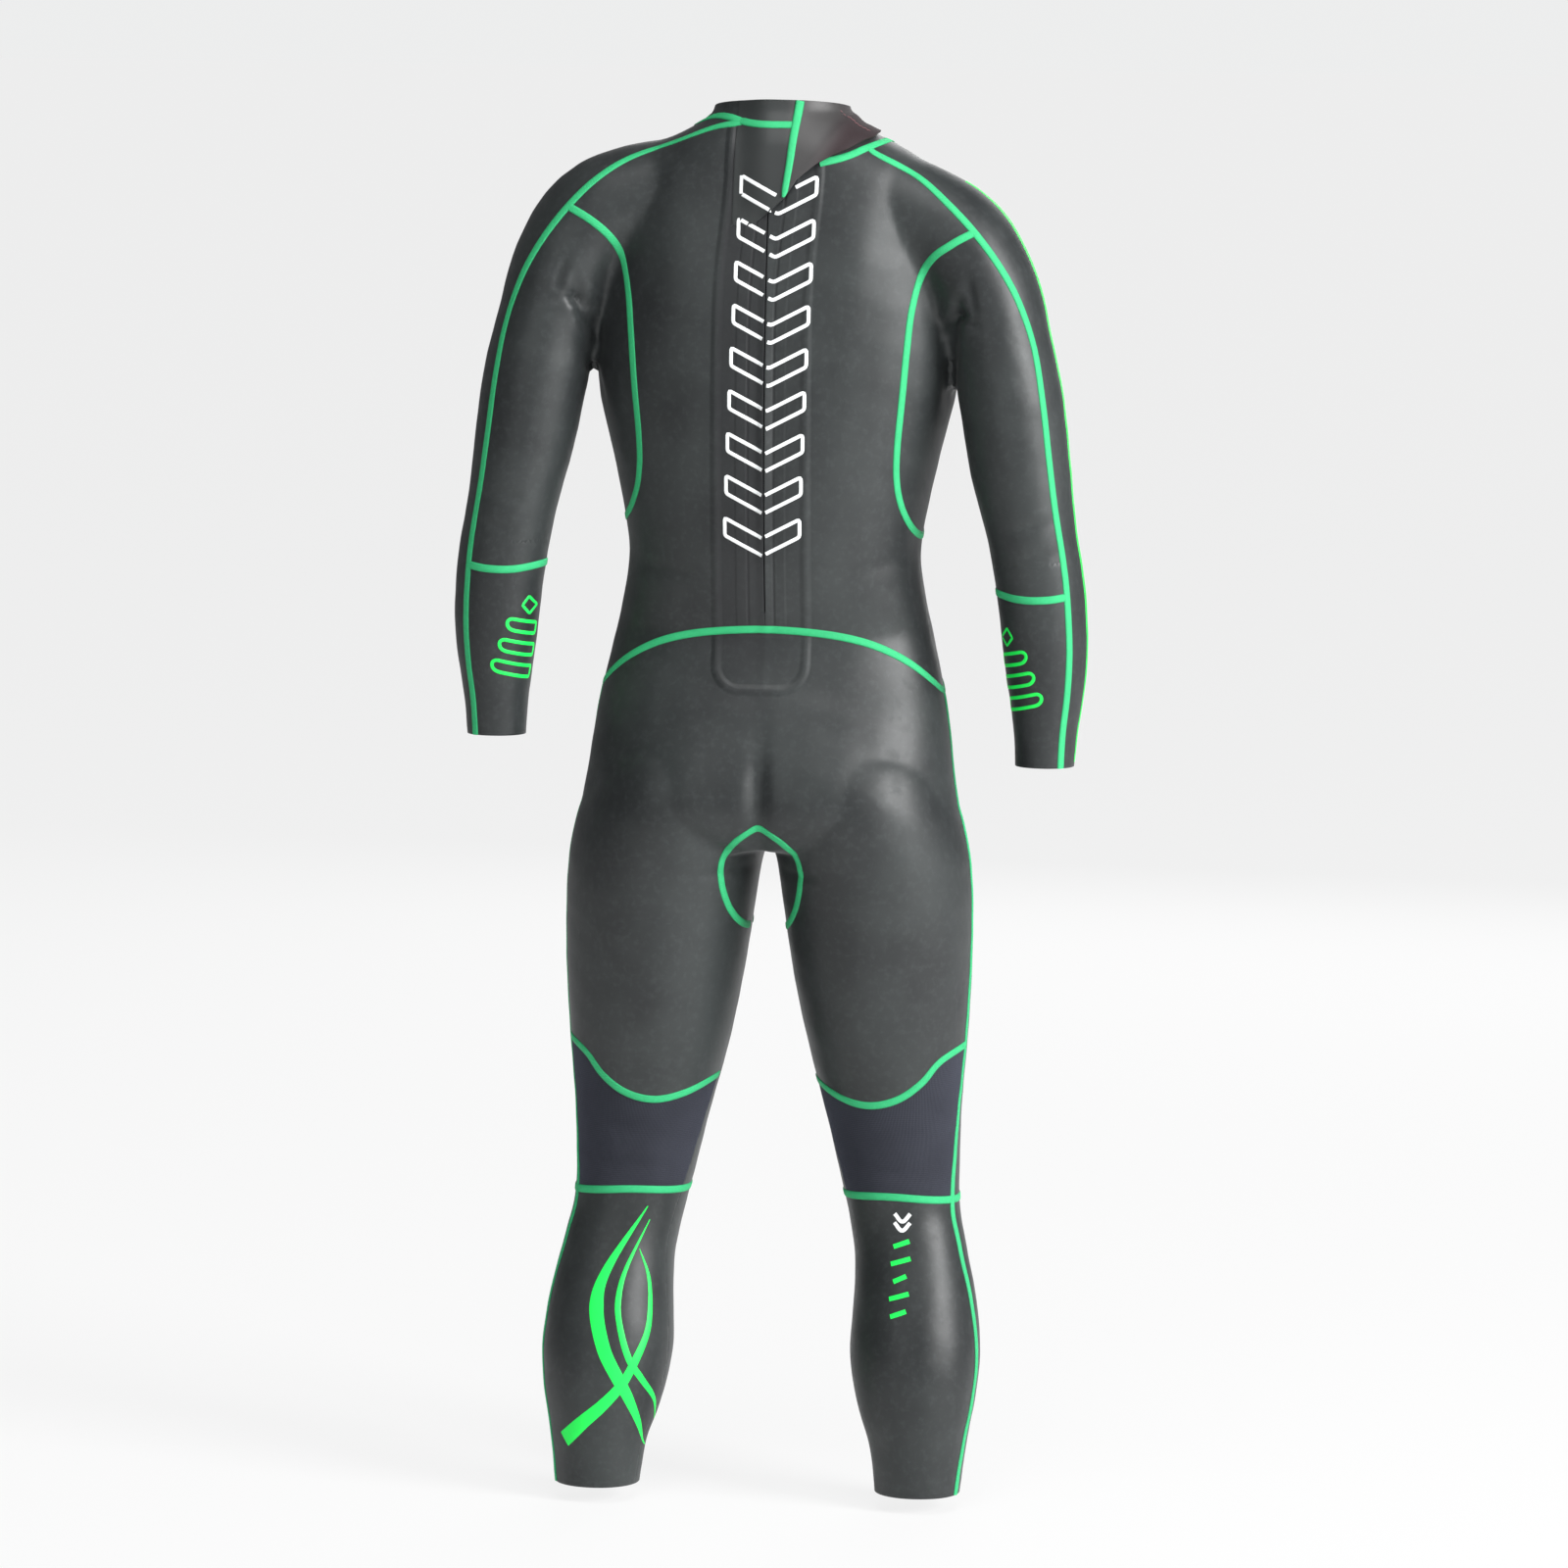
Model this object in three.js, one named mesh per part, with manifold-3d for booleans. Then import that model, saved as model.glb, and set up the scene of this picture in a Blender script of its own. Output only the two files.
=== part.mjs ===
// Full-length neoprene swimming wetsuit, filled out as it is when worn, with its zip closed.
// Millimetres, +Z up, the wearer's back towards -Y and the wearer's right arm at +X.
// The origin is the centre of the neck opening's rim.
import * as THREE from "three";
import { mergeVertices } from "three/addons/utils/BufferGeometryUtils.js";
import Module from "manifold-3d";

const wasm = await Module();
wasm.setup();

// ---------------------------------------------------------------- driving dimensions
const WALL = 4; // neoprene thickness
const GAP = 0.3; // clearance between two pieces that meet
const CUFF_Z = -641; // left cuff hem
const SLEEVE_DROP = 20; // the right sleeve hangs this much lower
const ANKLE_Z = -1408;
const RIM_TILT = THREE.MathUtils.degToRad(8); // the collar stands higher at the nape
const CENTRE_FRONT = 8; // where the two halves of the collar meet in front
const REACH = 400; // half length of a cutting prism, beyond every surface

// seam tape
const TAPE_WIDTH = 8;
const TAPE_LIFT = 0.35;
const TAPE_THICK = 0.8;

// zip: it follows an arc about a line parallel to X, in front of the chest
const ARC = { y: 836, z: -272, radius: 950 };
const ZIP_TOP_Z = -48;
const ZIP_BOTTOM_Z = -507;
const SLIDER_REST_Z = -72;
const SLIT_HALF = 1.4;
const LIP = 2.4; // depth of the panel edges that cover the chain
const CHANNEL_HALF = 9;
const COIL = { inner: 0.9, outer: 3.3, shallow: 4.4, deep: 7 };
const ZIP_TAPE = { inner: 3.6, outer: 17, shallow: 6.4, deep: 7 };
const BACKING = { half: 43, lift: -12, thick: 2, topZ: -62, bottomZ: -580 };

// collar flap
const FLAP_LIFT = 3.6;
const FLAP_THICK = 2.5;
const FLAP_HINGE_X = -12;
const PATCH_THICK = 0.6;

// ---------------------------------------------------------------- body form
// Depth of the back on the centre line over the zip.
function zipArcY(z) {
  return ARC.y - Math.sqrt(ARC.radius ** 2 - (z - ARC.z) ** 2);
}

// Torso levels: height, half width, front depth, back depth (null follows the zip's arc).
const TORSO = [
  [40, 62, 62, -60],
  [0, 66, 64, -66],
  [-12, 76, 66, -72],
  [-24, 98, 68, -78],
  [-36, 122, 71, -84],
  [-56, 152, 78, null],
  [-91, 170, 92, null],
  [-146, 176, 106, null],
  [-216, 184, 118, null],
  [-278, 184, 124, null],
  [-346, 168, 118, null],
  [-401, 156, 106, null],
  [-453, 149, 98, null],
  [-503, 156, 96, null],
  [-530, 162, 97, null],
  [-575, 172, 99, -92],
  [-616, 180, 100, -110],
  [-676, 188, 100, -128],
  [-716, 192, 96, -130],
  [-751, 168, 70, -104],
];
// Sleeve and leg stations: x outwards, y, z, half width, depth to the front, depth to the back.
const SLEEVE = [
  [75, -12, -74, 46, 50, 56],
  [135, -14, -90, 54, 58, 62],
  [184, -18, -113, 58, 62, 64],
  [215, -24, -161, 58, 62, 62],
  [232, -30, -216, 55, 60, 60],
  [243, -36, -271, 55, 58, 58],
  [253, -40, -336, 51, 53, 53],
  [266, -41, -405, 45.5, 49, 49],
  [277, -38, -471, 45, 46, 46],
  [282, -35, -540, 42, 42, 42],
  [282, -30, -614, 32, 34, 34],
  [281, -28, -690, 28, 30, 30],
];
const LEG = [
  [92, -14, -656, 84, 100, 104],
  [97, -14, -716, 95, 104, 112],
  [106, -12, -776, 99, 98, 108],
  [111, -7, -860, 95, 91, 96],
  [118, -1, -945, 85, 82, 84],
  [126, 2, -1021, 72, 72, 70],
  [132, 2, -1076, 65, 66, 63],
  [139, -4, -1128, 59, 60, 57],
  [147, -14, -1171, 59, 58, 60],
  [153, -26, -1221, 64, 55, 68],
  [156, -38, -1271, 66, 52, 70],
  [160, -48, -1321, 58, 50, 62],
  [164, -56, -1366, 47, 46, 52],
  [165, -66, -1440, 38, 40, 42],
];

// The right sleeve and its seams sink by this much at a distance x from the centre line.
function drop(side, x) {
  const share = THREE.MathUtils.clamp((Math.abs(x) - 60) / 120, 0, 1);
  return side > 0 ? SLEEVE_DROP * share : 0;
}

// ---------------------------------------------------------------- solids and cuts
function toSolid(geometry) {
  const plain = geometry.clone();
  plain.deleteAttribute("normal");
  plain.deleteAttribute("uv");
  const merged = mergeVertices(plain, 1e-4);
  return new wasm.Manifold(
    new wasm.Mesh({
      numProp: 3,
      vertProperties: new Float32Array(merged.attributes.position.array),
      triVerts: new Uint32Array(merged.index.array),
    }),
  );
}

function toGeometry(solid) {
  const mesh = solid.getMesh();
  const geometry = new THREE.BufferGeometry();
  geometry.setAttribute("position", new THREE.BufferAttribute(mesh.vertProperties, 3));
  geometry.setIndex(new THREE.BufferAttribute(mesh.triVerts, 1));
  const faceted = geometry.toNonIndexed();
  faceted.computeVertexNormals();
  return faceted;
}

function joined(solids) {
  return solids.reduce((whole, solid) => whole.add(solid));
}

// A closed solid through a list of rings, each an array of [x, y, z], with flat ends.
function loft(rings) {
  const sides = rings[0].length;
  const points = rings.flat();
  const index = [];
  for (let i = 0; i + 1 < rings.length; i++) {
    for (let j = 0; j < sides; j++) {
      const a = i * sides + j;
      const b = i * sides + ((j + 1) % sides);
      index.push(a, b, b + sides, a, b + sides, a + sides);
    }
  }
  [0, rings.length - 1].forEach((end) => {
    const centre = points.length;
    const ring = rings[end];
    const mean = [0, 1, 2].map((k) => ring.reduce((sum, p) => sum + p[k], 0) / sides);
    points.push(mean);
    for (let j = 0; j < sides; j++) {
      const a = end * sides + j;
      const b = end * sides + ((j + 1) % sides);
      if (end === 0) index.push(centre, b, a);
      else index.push(centre, a, b);
    }
  });
  const geometry = new THREE.BufferGeometry();
  geometry.setAttribute("position", new THREE.Float32BufferAttribute(points.flat(), 3));
  geometry.setIndex(index);
  const solid = toSolid(geometry);
  if (solid.volume() > 0) return solid;
  geometry.setIndex(index.map((_, k) => index[k - (k % 3) + 2 - (k % 3)]));
  return toSolid(geometry);
}

// One ring of a limb: a rounded outline of the given half width and depths.
function ring(centre, across, half, front, back, sides, power) {
  const round = (value) => Math.sign(value) * Math.abs(value) ** (2 / power);
  return Array.from({ length: sides }, (_, j) => {
    const angle = (2 * Math.PI * (j + 0.5)) / sides;
    const wide = round(Math.cos(angle)) * half;
    const deep = round(Math.sin(angle)) * (Math.sin(angle) > 0 ? front : back);
    return [centre[0] + across[0] * wide, centre[1] + deep, centre[2] + across[1] * wide];
  });
}

function torsoSolid(grow) {
  const rings = TORSO.map(([z, half, front, back], i) => {
    const rear = back === null ? zipArcY(z) : back;
    const middle = (front + rear) / 2;
    const deep = (front - rear) / 2 + grow;
    const level = i === TORSO.length - 1 ? z - grow : z;
    return ring([0, middle, level], [1, 0], half + grow, deep, deep, 18, 2.3);
  });
  return loft(rings);
}

function limbSolid(stations, side, grow, sides, power, sinks) {
  const at = (i) => {
    const [x, y, z] = stations[THREE.MathUtils.clamp(i, 0, stations.length - 1)];
    return [side * x, y, z - (sinks ? drop(side, x) : 0)];
  };
  const rings = stations.map(([, , , half, front, back], i) => {
    const before = at(i - 1);
    const after = at(i + 1);
    const along = Math.hypot(after[0] - before[0], after[2] - before[2]);
    const across = [-(after[2] - before[2]) / along, (after[0] - before[0]) / along];
    return ring(at(i), across, half + grow, front + grow, back + grow, sides, power);
  });
  return loft(rings);
}

// The whole body, grown outwards by a distance, before the neck, cuffs and ankles are cut.
function bodySolid(grow) {
  return joined([
    torsoSolid(grow),
    limbSolid(SLEEVE, -1, grow, 12, 2, true),
    limbSolid(SLEEVE, 1, grow, 12, 2, true),
    limbSolid(LEG, -1, grow, 12, 2.1, false),
    limbSolid(LEG, 1, grow, 12, 2.1, false),
  ]);
}

// A prism along Y of an outline in X and Z; two lines that meet may both give the shared point.
function prism(outline, fromY = -REACH, toY = REACH) {
  const fresh = outline.filter(([x, z], i) => {
    const [px, pz] = outline[(i + outline.length - 1) % outline.length];
    return Math.hypot(x - px, z - pz) > GAP;
  });
  const shape = new THREE.Shape(fresh.map(([x, z]) => new THREE.Vector2(x, z)));
  const geometry = new THREE.ExtrudeGeometry(shape, { depth: toY - fromY, bevelEnabled: false });
  geometry.rotateX(Math.PI / 2);
  geometry.translate(0, toY, 0);
  return toSolid(geometry);
}

// The same along X, of an outline in Y and Z.
function sidePrism(outline, fromX, toX) {
  const shape = new THREE.Shape(outline.map(([y, z]) => new THREE.Vector2(y, z)));
  const geometry = new THREE.ExtrudeGeometry(shape, { depth: toX - fromX, bevelEnabled: false });
  geometry.rotateX(Math.PI / 2);
  geometry.rotateZ(Math.PI / 2);
  geometry.translate(fromX, 0, 0);
  return toSolid(geometry);
}

function box(x0, x1, y0, y1, z0, z1) {
  const geometry = new THREE.BoxGeometry(x1 - x0, y1 - y0, z1 - z0);
  geometry.translate((x0 + x1) / 2, (y0 + y1) / 2, (z0 + z1) / 2);
  return toSolid(geometry);
}

// Sections of a wall of a given width along a line of points in X and Z, as deep as Y allows.
function wallRings(points, width, fromY, toY) {
  return points.map(([x, z], i) => {
    const [x0, z0] = points[Math.max(i - 1, 0)];
    const [x1, z1] = points[Math.min(i + 1, points.length - 1)];
    const move = width / 2 / Math.hypot(x1 - x0, z1 - z0);
    const dx = -(z1 - z0) * move;
    const dz = (x1 - x0) * move;
    return [
      [x + dx, fromY, z + dz],
      [x - dx, fromY, z - dz],
      [x - dx, toY, z - dz],
      [x + dx, toY, z + dz],
    ];
  });
}

function wall(points, width, fromY = -REACH, toY = REACH) {
  return loft(wallRings(points, width, fromY, toY));
}

// The same on a line of points in Y and Z, running along X.
function sideWall(points, width, fromX, toX) {
  const rings = wallRings(points, width, fromX, toX);
  return loft(rings.map((section) => section.map(([a, b, c]) => [b, a, c])));
}

function mirrored(points, side) {
  return points.map(([x, z]) => [side * x, z - drop(side, x)]);
}

// ---------------------------------------------------------------- seam lines, X and Z
const RAGLAN = [
  [100, -34],
  [146, -51],
  [178, -72],
  [206, -100],
  [232, -134],
  [252, -170],
  [268, -216],
  [278, -271],
  [285, -326],
  [292, -378],
  [300, -425],
  [305, -465],
  [308, -520],
  [306, -566],
  [301, -614],
  [298, -700],
];
// The raglan seam's own start at the neck, which differs from side to side.
const RAGLAN_START = {
  [-1]: [
    [-27, -13],
    [-60, -19],
  ],
  1: [[98, -36]],
};
const UNDERARM = [
  [206, -100],
  [184, -112],
  [165, -128],
  [152, -150],
  [144, -185],
  [140, -225],
  [136, -275],
  [131, -330],
  [131, -365],
  [137, -392],
  [150, -415],
  [172, -430],
];
const FOREARM = [
  [215, -460],
  [255, -468],
  [285, -468],
  [305, -465],
];
const NECK_LEFT = [
  [-120, 2],
  [-60, -8],
  [-27, -13],
  [-8, -14],
  [0, -14],
];
const NECK_RIGHT = [
  [0, -62],
  [48, -53],
  [76, -46],
  [98, -36],
  [150, -14],
];
const NECK_FRONT = [
  [-120, 2],
  [-60, -12],
  [CENTRE_FRONT, -20],
  [60, -26],
  [98, -36],
  [150, -14],
];
const HIP = [
  [-220, -640],
  [-184, -600],
  [-165, -576],
  [-140, -555],
  [-105, -538],
  [-60, -528],
  [0, -524],
  [60, -528],
  [105, -538],
  [140, -555],
  [165, -576],
  [184, -600],
  [220, -640],
];
const GUSSET = [
  [0, -720],
  [25, -738],
  [40, -762],
  [38, -795],
  [26, -825],
  [0, -850],
];
const KNEE_TOP = [
  [20, -975],
  [50, -990],
  [80, -1004],
  [110, -1010],
  [140, -1003],
  [165, -985],
  [185, -962],
  [230, -940],
];
const KNEE_FOOT = [
  [20, -1116],
  [80, -1109],
  [130, -1105],
  [180, -1109],
  [240, -1118],
];
// Where the front panels meet the back ones at the sides: Y at a height Z.
const SIDE_SEAM = [
  [0, 120],
  [0, -300],
  [-4, -600],
  [-14, -700],
  [-15, -850],
  [-12, -1000],
  [-25, -1100],
  [-45, -1200],
  [-62, -1300],
  [-78, -1400],
  [-84, -1480],
];
const FLAP_SEAM = [
  [17, -85],
  [20, -56],
  [24, -20],
  [29, 40],
];

// ---------------------------------------------------------------- trimmed shell
function rimCutter() {
  const geometry = new THREE.BoxGeometry(500, 500, 200);
  geometry.translate(0, 0, 100);
  geometry.rotateX(-RIM_TILT);
  return toSolid(geometry);
}

function hemCutters() {
  const cuff = (side) =>
    box(side < 0 ? -400 : 215, side < 0 ? -215 : 400, -REACH, REACH, -900, CUFF_Z - drop(side, 300));
  return [cuff(-1), cuff(1), box(-400, 400, -REACH, REACH, -1600, ANKLE_Z)];
}

const TRIM = joined([rimCutter(), ...hemCutters()]);
const INNER = bodySolid(-WALL);
const SHELL = bodySolid(0).subtract(INNER).subtract(TRIM);

// A skin between two distances outside the body's surface.
function skin(lift, thick) {
  return bodySolid(lift + thick)
    .subtract(bodySolid(lift))
    .subtract(TRIM);
}

// Regions behind and in front of the side seam, each a little clear of it.
function halfSpace(front) {
  const shift = (front ? 1 : -1) * (GAP / 2);
  const edge = SIDE_SEAM.map(([y, z]) => [y + shift, z]);
  const far = front ? REACH : -REACH;
  return sidePrism([...edge, [far, -1500], [far, 120]], -REACH, REACH);
}
const BEHIND = halfSpace(false);
const BEFORE = halfSpace(true);

// Narrow cuts that part the panels along a seam line.
function cut(points, fromY, toY) {
  return wall(points, GAP, fromY, toY);
}

function raglanLine(side) {
  return [...RAGLAN_START[side], ...mirrored(RAGLAN, side)];
}

// The region outside the raglan seam: shoulder, outer arm.
function outerRegion(side) {
  const line = raglanLine(side);
  return prism([...line, [side * 420, -720], [side * 420, 60], [line[0][0], 60]]);
}

// The region between the raglan seam and the underarm seam, down to the forearm seam.
function underarmRegion(side) {
  const raglan = mirrored(RAGLAN.slice(3, 11), side);
  const under = mirrored(UNDERARM, side).reverse();
  const fore = mirrored(FOREARM, side).reverse();
  const inside = [
    [side * 200, -456 - drop(side, 200)],
    [side * 200, -440],
  ];
  return prism([...raglan, ...fore, ...inside, ...under]);
}

function forearmRegion(side) {
  const fore = mirrored(FOREARM, side);
  const raglan = mirrored(RAGLAN.slice(11), side);
  return prism([...fore, ...raglan, [side * 200, -720], [side * 200, -456 - drop(side, 200)]]);
}

const ARM_CUTS = joined(
  [-1, 1].flatMap((side) => [
    cut(raglanLine(side)),
    cut(mirrored(UNDERARM, side)),
    cut(mirrored(FOREARM, side)),
  ]),
);
const NECK_CUTS = joined([
  cut(NECK_LEFT, -REACH, 0),
  cut(NECK_RIGHT, -REACH, 0),
  cut(NECK_FRONT, 0, REACH),
]);
const LEG_CUTS = joined([
  cut(HIP),
  ...[-1, 1].flatMap((side) => [
    cut(GUSSET.map(([x, z]) => [side * x, z])),
    cut(KNEE_TOP.map(([x, z]) => [side * x, z]), -REACH, 0),
    cut(KNEE_FOOT.map(([x, z]) => [side * x, z])),
  ]),
]);
const CUT_SHELL = SHELL.subtract(ARM_CUTS).subtract(NECK_CUTS).subtract(LEG_CUTS);

// The channel under the panel edges, and the slit between them.
function arcBar(x0, x1, depth0, depth1, zTop, zBottom, steps = 9) {
  const at = (x, depth, angle) => [
    x,
    ARC.y - (ARC.radius - depth) * Math.cos(angle),
    ARC.z + (ARC.radius - depth) * Math.sin(angle),
  ];
  const angleOf = (z) => Math.asin((z - ARC.z) / ARC.radius);
  const rings = [];
  for (let i = 0; i <= steps; i++) {
    const angle = THREE.MathUtils.lerp(angleOf(zTop), angleOf(zBottom), i / steps);
    rings.push([at(x0, depth0, angle), at(x1, depth0, angle), at(x1, depth1, angle), at(x0, depth1, angle)]);
  }
  return loft(rings);
}

const ZIP_CHANNEL = joined([
  arcBar(-CHANNEL_HALF, CHANNEL_HALF, LIP, WALL + 8, ZIP_TOP_Z + 60, ZIP_BOTTOM_Z - 8),
  arcBar(-SLIT_HALF, SLIT_HALF, -8, LIP + 2, ZIP_TOP_Z + 140, ZIP_BOTTOM_Z - 8),
]);

// ---------------------------------------------------------------- materials
const SKIN = { color: 0x2b2d2e, roughness: 0.42, metalness: 0 };
const JERSEY = { color: 0x2a2d36, roughness: 0.85, metalness: 0 };
const TAPE = { color: 0x49cc8f, roughness: 0.6, metalness: 0 };
const LINING = { color: 0x202226, roughness: 0.8, metalness: 0 };
const NYLON = { color: 0x1b1c1e, roughness: 0.45, metalness: 0 };
const METAL = { color: 0x8d9092, roughness: 0.35, metalness: 0.9 };

const group = new THREE.Group();

function addPiece(name, solid, finish) {
  const mesh = new THREE.Mesh(toGeometry(solid), new THREE.MeshStandardMaterial(finish));
  mesh.name = name;
  group.add(mesh);
}

const WORD = { [-1]: "left", 1: "right" };
const SIDES = [-1, 1];

// The collar stands above the neck seam, which runs lower behind on the right side.
function aboveNeck(line, fromY, toY) {
  const first = line[0][0];
  const last = line[line.length - 1][0];
  return prism([...line, [last, 80], [first, 80]], fromY, toY);
}
const COLLAR = {
  [-1]: aboveNeck(NECK_LEFT, -REACH, 1).add(aboveNeck(NECK_FRONT.slice(0, 3), 0, REACH)),
  1: aboveNeck(NECK_RIGHT, -REACH, 1).add(aboveNeck(NECK_FRONT.slice(2), 0, REACH)),
};
const BODICE = CUT_SHELL.subtract(COLLAR[-1]).subtract(COLLAR[1]);

// ---------------------------------------------------------------- sleeves
function addSleevePanels() {
  SIDES.forEach((side) => {
    const word = WORD[side];
    addPiece(`outer_sleeve_${word}`, BODICE.intersect(outerRegion(side)), SKIN);
    addPiece(`underarm_panel_${word}`, BODICE.intersect(underarmRegion(side)), SKIN);
    addPiece(`forearm_panel_${word}`, BODICE.intersect(forearmRegion(side)), SKIN);
  });
}

// ---------------------------------------------------------------- torso
function trunkRegion() {
  const outline = (side) => [
    ...raglanLine(side).slice(0, RAGLAN_START[side].length + 4),
    ...mirrored(UNDERARM, side).slice(1),
  ];
  return prism([...outline(1), ...HIP.slice().reverse(), ...outline(-1).reverse()]);
}

function addTorsoPanels() {
  const trunk = BODICE.intersect(trunkRegion());
  const rear = trunk.intersect(BEHIND).subtract(ZIP_CHANNEL);
  addPiece("back_panel_left", rear.subtract(box(0, REACH, -REACH, REACH, -700, 80)), SKIN);
  addPiece("back_panel_right", rear.subtract(box(-REACH, 0, -REACH, REACH, -700, 80)), SKIN);
  addPiece("chest_panel", trunk.intersect(BEFORE), SKIN);
}

// ---------------------------------------------------------------- collar
function addCollar() {
  const middle = box(CENTRE_FRONT - GAP / 2, CENTRE_FRONT + GAP / 2, -1, REACH, -100, 80);
  SIDES.forEach((side) => {
    const band = CUT_SHELL.subtract(ZIP_CHANNEL).intersect(COLLAR[side]);
    addPiece(`collar_${WORD[side]}`, band.subtract(middle), SKIN);
  });
}

// ---------------------------------------------------------------- seat and legs
function acrossLeg(points, side) {
  return points.map(([x, z]) => [side * x, z]);
}

function legRegion(side, top, foot) {
  return prism([...acrossLeg(top, side), ...acrossLeg(foot, side).reverse()]);
}

function addLegPanels() {
  const gusset = prism([...GUSSET, ...acrossLeg(GUSSET, -1).reverse()]);
  addPiece("gusset_panel", CUT_SHELL.intersect(gusset), SKIN);
  const hips = prism([...HIP, [260, -1460], [-260, -1460]]).subtract(gusset);
  const legs = CUT_SHELL.intersect(hips);
  const hem = [[20, -1460], [260, -1460]];
  const knees = (side) => legRegion(side, KNEE_TOP, KNEE_FOOT);
  const below = (side) => legRegion(side, KNEE_FOOT, hem);
  const lower = joined(SIDES.flatMap((side) => [knees(side), below(side)]));
  addPiece("seat_panel", legs.intersect(BEHIND).subtract(lower), SKIN);
  SIDES.forEach((side) => {
    const word = WORD[side];
    const other = box(side < 0 ? -GAP / 2 : -REACH, side < 0 ? REACH : GAP / 2, -REACH, REACH, -1500, 0);
    const front = legs.intersect(BEFORE).subtract(other);
    addPiece(`knee_back_${word}`, legs.intersect(BEHIND).intersect(knees(side)), JERSEY);
    addPiece(`calf_panel_${word}`, legs.intersect(BEHIND).intersect(below(side)), SKIN);
    addPiece(`front_thigh_${word}`, front.subtract(below(side)), SKIN);
    addPiece(`front_shin_${word}`, front.intersect(below(side)), SKIN);
  });
}

// ---------------------------------------------------------------- seam tapes
const TAPE_SKIN = skin(TAPE_LIFT, TAPE_THICK);

// The ground that a tape on a line leaves to the tapes that run into it.
function berth(points, fromY, toY) {
  return wall(points, TAPE_WIDTH + 2 * GAP, fromY, toY);
}

function tape(points, fromY, toY) {
  return TAPE_SKIN.intersect(wall(points, TAPE_WIDTH, fromY, toY));
}

function addNeckTapes() {
  addPiece("neck_tape_left", tape(NECK_LEFT.slice(0, 4), -REACH, -GAP), TAPE);
  addPiece("neck_tape_right", tape(NECK_RIGHT.slice(1), -REACH, -GAP), TAPE);
  addPiece("neck_tape_front", tape(NECK_FRONT, 0, REACH), TAPE);
}

function addSleeveTapes() {
  const crest = -20;
  SIDES.forEach((side) => {
    const word = WORD[side];
    const raglan = raglanLine(side);
    const neck = joined([
      berth(side < 0 ? NECK_LEFT : NECK_RIGHT, -REACH, 0),
      berth(NECK_FRONT, -GAP, REACH),
    ]);
    const clear = berth(raglan);
    addPiece(`raglan_tape_back_${word}`, tape(raglan, -REACH, crest).subtract(neck), TAPE);
    addPiece(`raglan_tape_front_${word}`, tape(raglan.slice(1), crest + GAP).subtract(neck), TAPE);
    addPiece(`underarm_tape_${word}`, tape(mirrored(UNDERARM, side)).subtract(clear), TAPE);
    addPiece(`forearm_tape_${word}`, tape(mirrored(FOREARM, side)).subtract(clear), TAPE);
  });
}

function addLegTapes() {
  const seam = SIDE_SEAM.slice(2);
  const outer = (side, width) =>
    sideWall(seam, width, side < 0 ? -240 : 150, side < 0 ? -150 : 240);
  const clear = joined(SIDES.map((side) => outer(side, TAPE_WIDTH + 2 * GAP)));
  addPiece("hip_tape_back", tape(HIP, -REACH, -5).subtract(clear), TAPE);
  addPiece("hip_tape_front", tape(HIP, -5 + GAP).subtract(clear), TAPE);
  const loop = [...acrossLeg(GUSSET, -1).reverse(), ...GUSSET.slice(1)];
  addPiece("gusset_tape_back", tape(loop, -REACH, -30), TAPE);
  addPiece("gusset_tape_front", tape(loop, 10), TAPE);
  SIDES.forEach((side) => {
    const word = WORD[side];
    const behind = BEHIND.subtract(clear);
    addPiece(`knee_top_tape_${word}`, tape(acrossLeg(KNEE_TOP, side)).intersect(behind), TAPE);
    addPiece(`knee_foot_tape_${word}`, tape(acrossLeg(KNEE_FOOT, side)).subtract(clear), TAPE);
    addPiece(`outer_leg_tape_${word}`, TAPE_SKIN.intersect(outer(side, TAPE_WIDTH)), TAPE);
  });
}

// ---------------------------------------------------------------- collar flap
const FLAP_OUTLINE = [
  [17, -85],
  [26, -68],
  [48, -56],
  [76, -49],
  [98, -40],
  [112, -30],
  [108, -18],
  [95, -10],
  [86, -3],
  [72, 8],
  [60, 40],
  [29, 40],
  [24, -20],
  [20, -56],
];
const PATCH_OUTLINE = [
  [68, -36],
  [86, -33],
  [100, -26],
  [97, -17],
  [86, -9],
  [68, -14],
];

function addCollarFlap() {
  const rear = -8;
  const root = [[FLAP_HINGE_X, -112], [0, -104], ...FLAP_SEAM, [FLAP_HINGE_X, 40]];
  const cloth = skin(FLAP_LIFT, FLAP_THICK).subtract(wall(FLAP_SEAM, GAP, -REACH, rear));
  const seam = skin(FLAP_LIFT + FLAP_THICK + TAPE_LIFT, TAPE_THICK);
  const patch = prism(PATCH_OUTLINE, -REACH, rear);
  addPiece("flap_root_panel", cloth.intersect(prism(root, -REACH, rear)), SKIN);
  addPiece("collar_flap_panel", cloth.intersect(prism(FLAP_OUTLINE, -REACH, rear)), SKIN);
  addPiece("flap_tape", seam.intersect(wall(FLAP_SEAM, TAPE_WIDTH + 2, -REACH, rear)), TAPE);
  addPiece("flap_hook_patch", skin(1.6, PATCH_THICK).intersect(patch), NYLON);
  addPiece("collar_loop_patch", skin(TAPE_LIFT, PATCH_THICK).intersect(patch), LINING);
}

// ---------------------------------------------------------------- zip
function alongZip(side, part, zTop, zBottom, steps) {
  const [near, far] = [side * part.inner, side * part.outer].sort((a, b) => a - b);
  return arcBar(near, far, part.shallow, part.deep, zTop, zBottom, steps);
}

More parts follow.
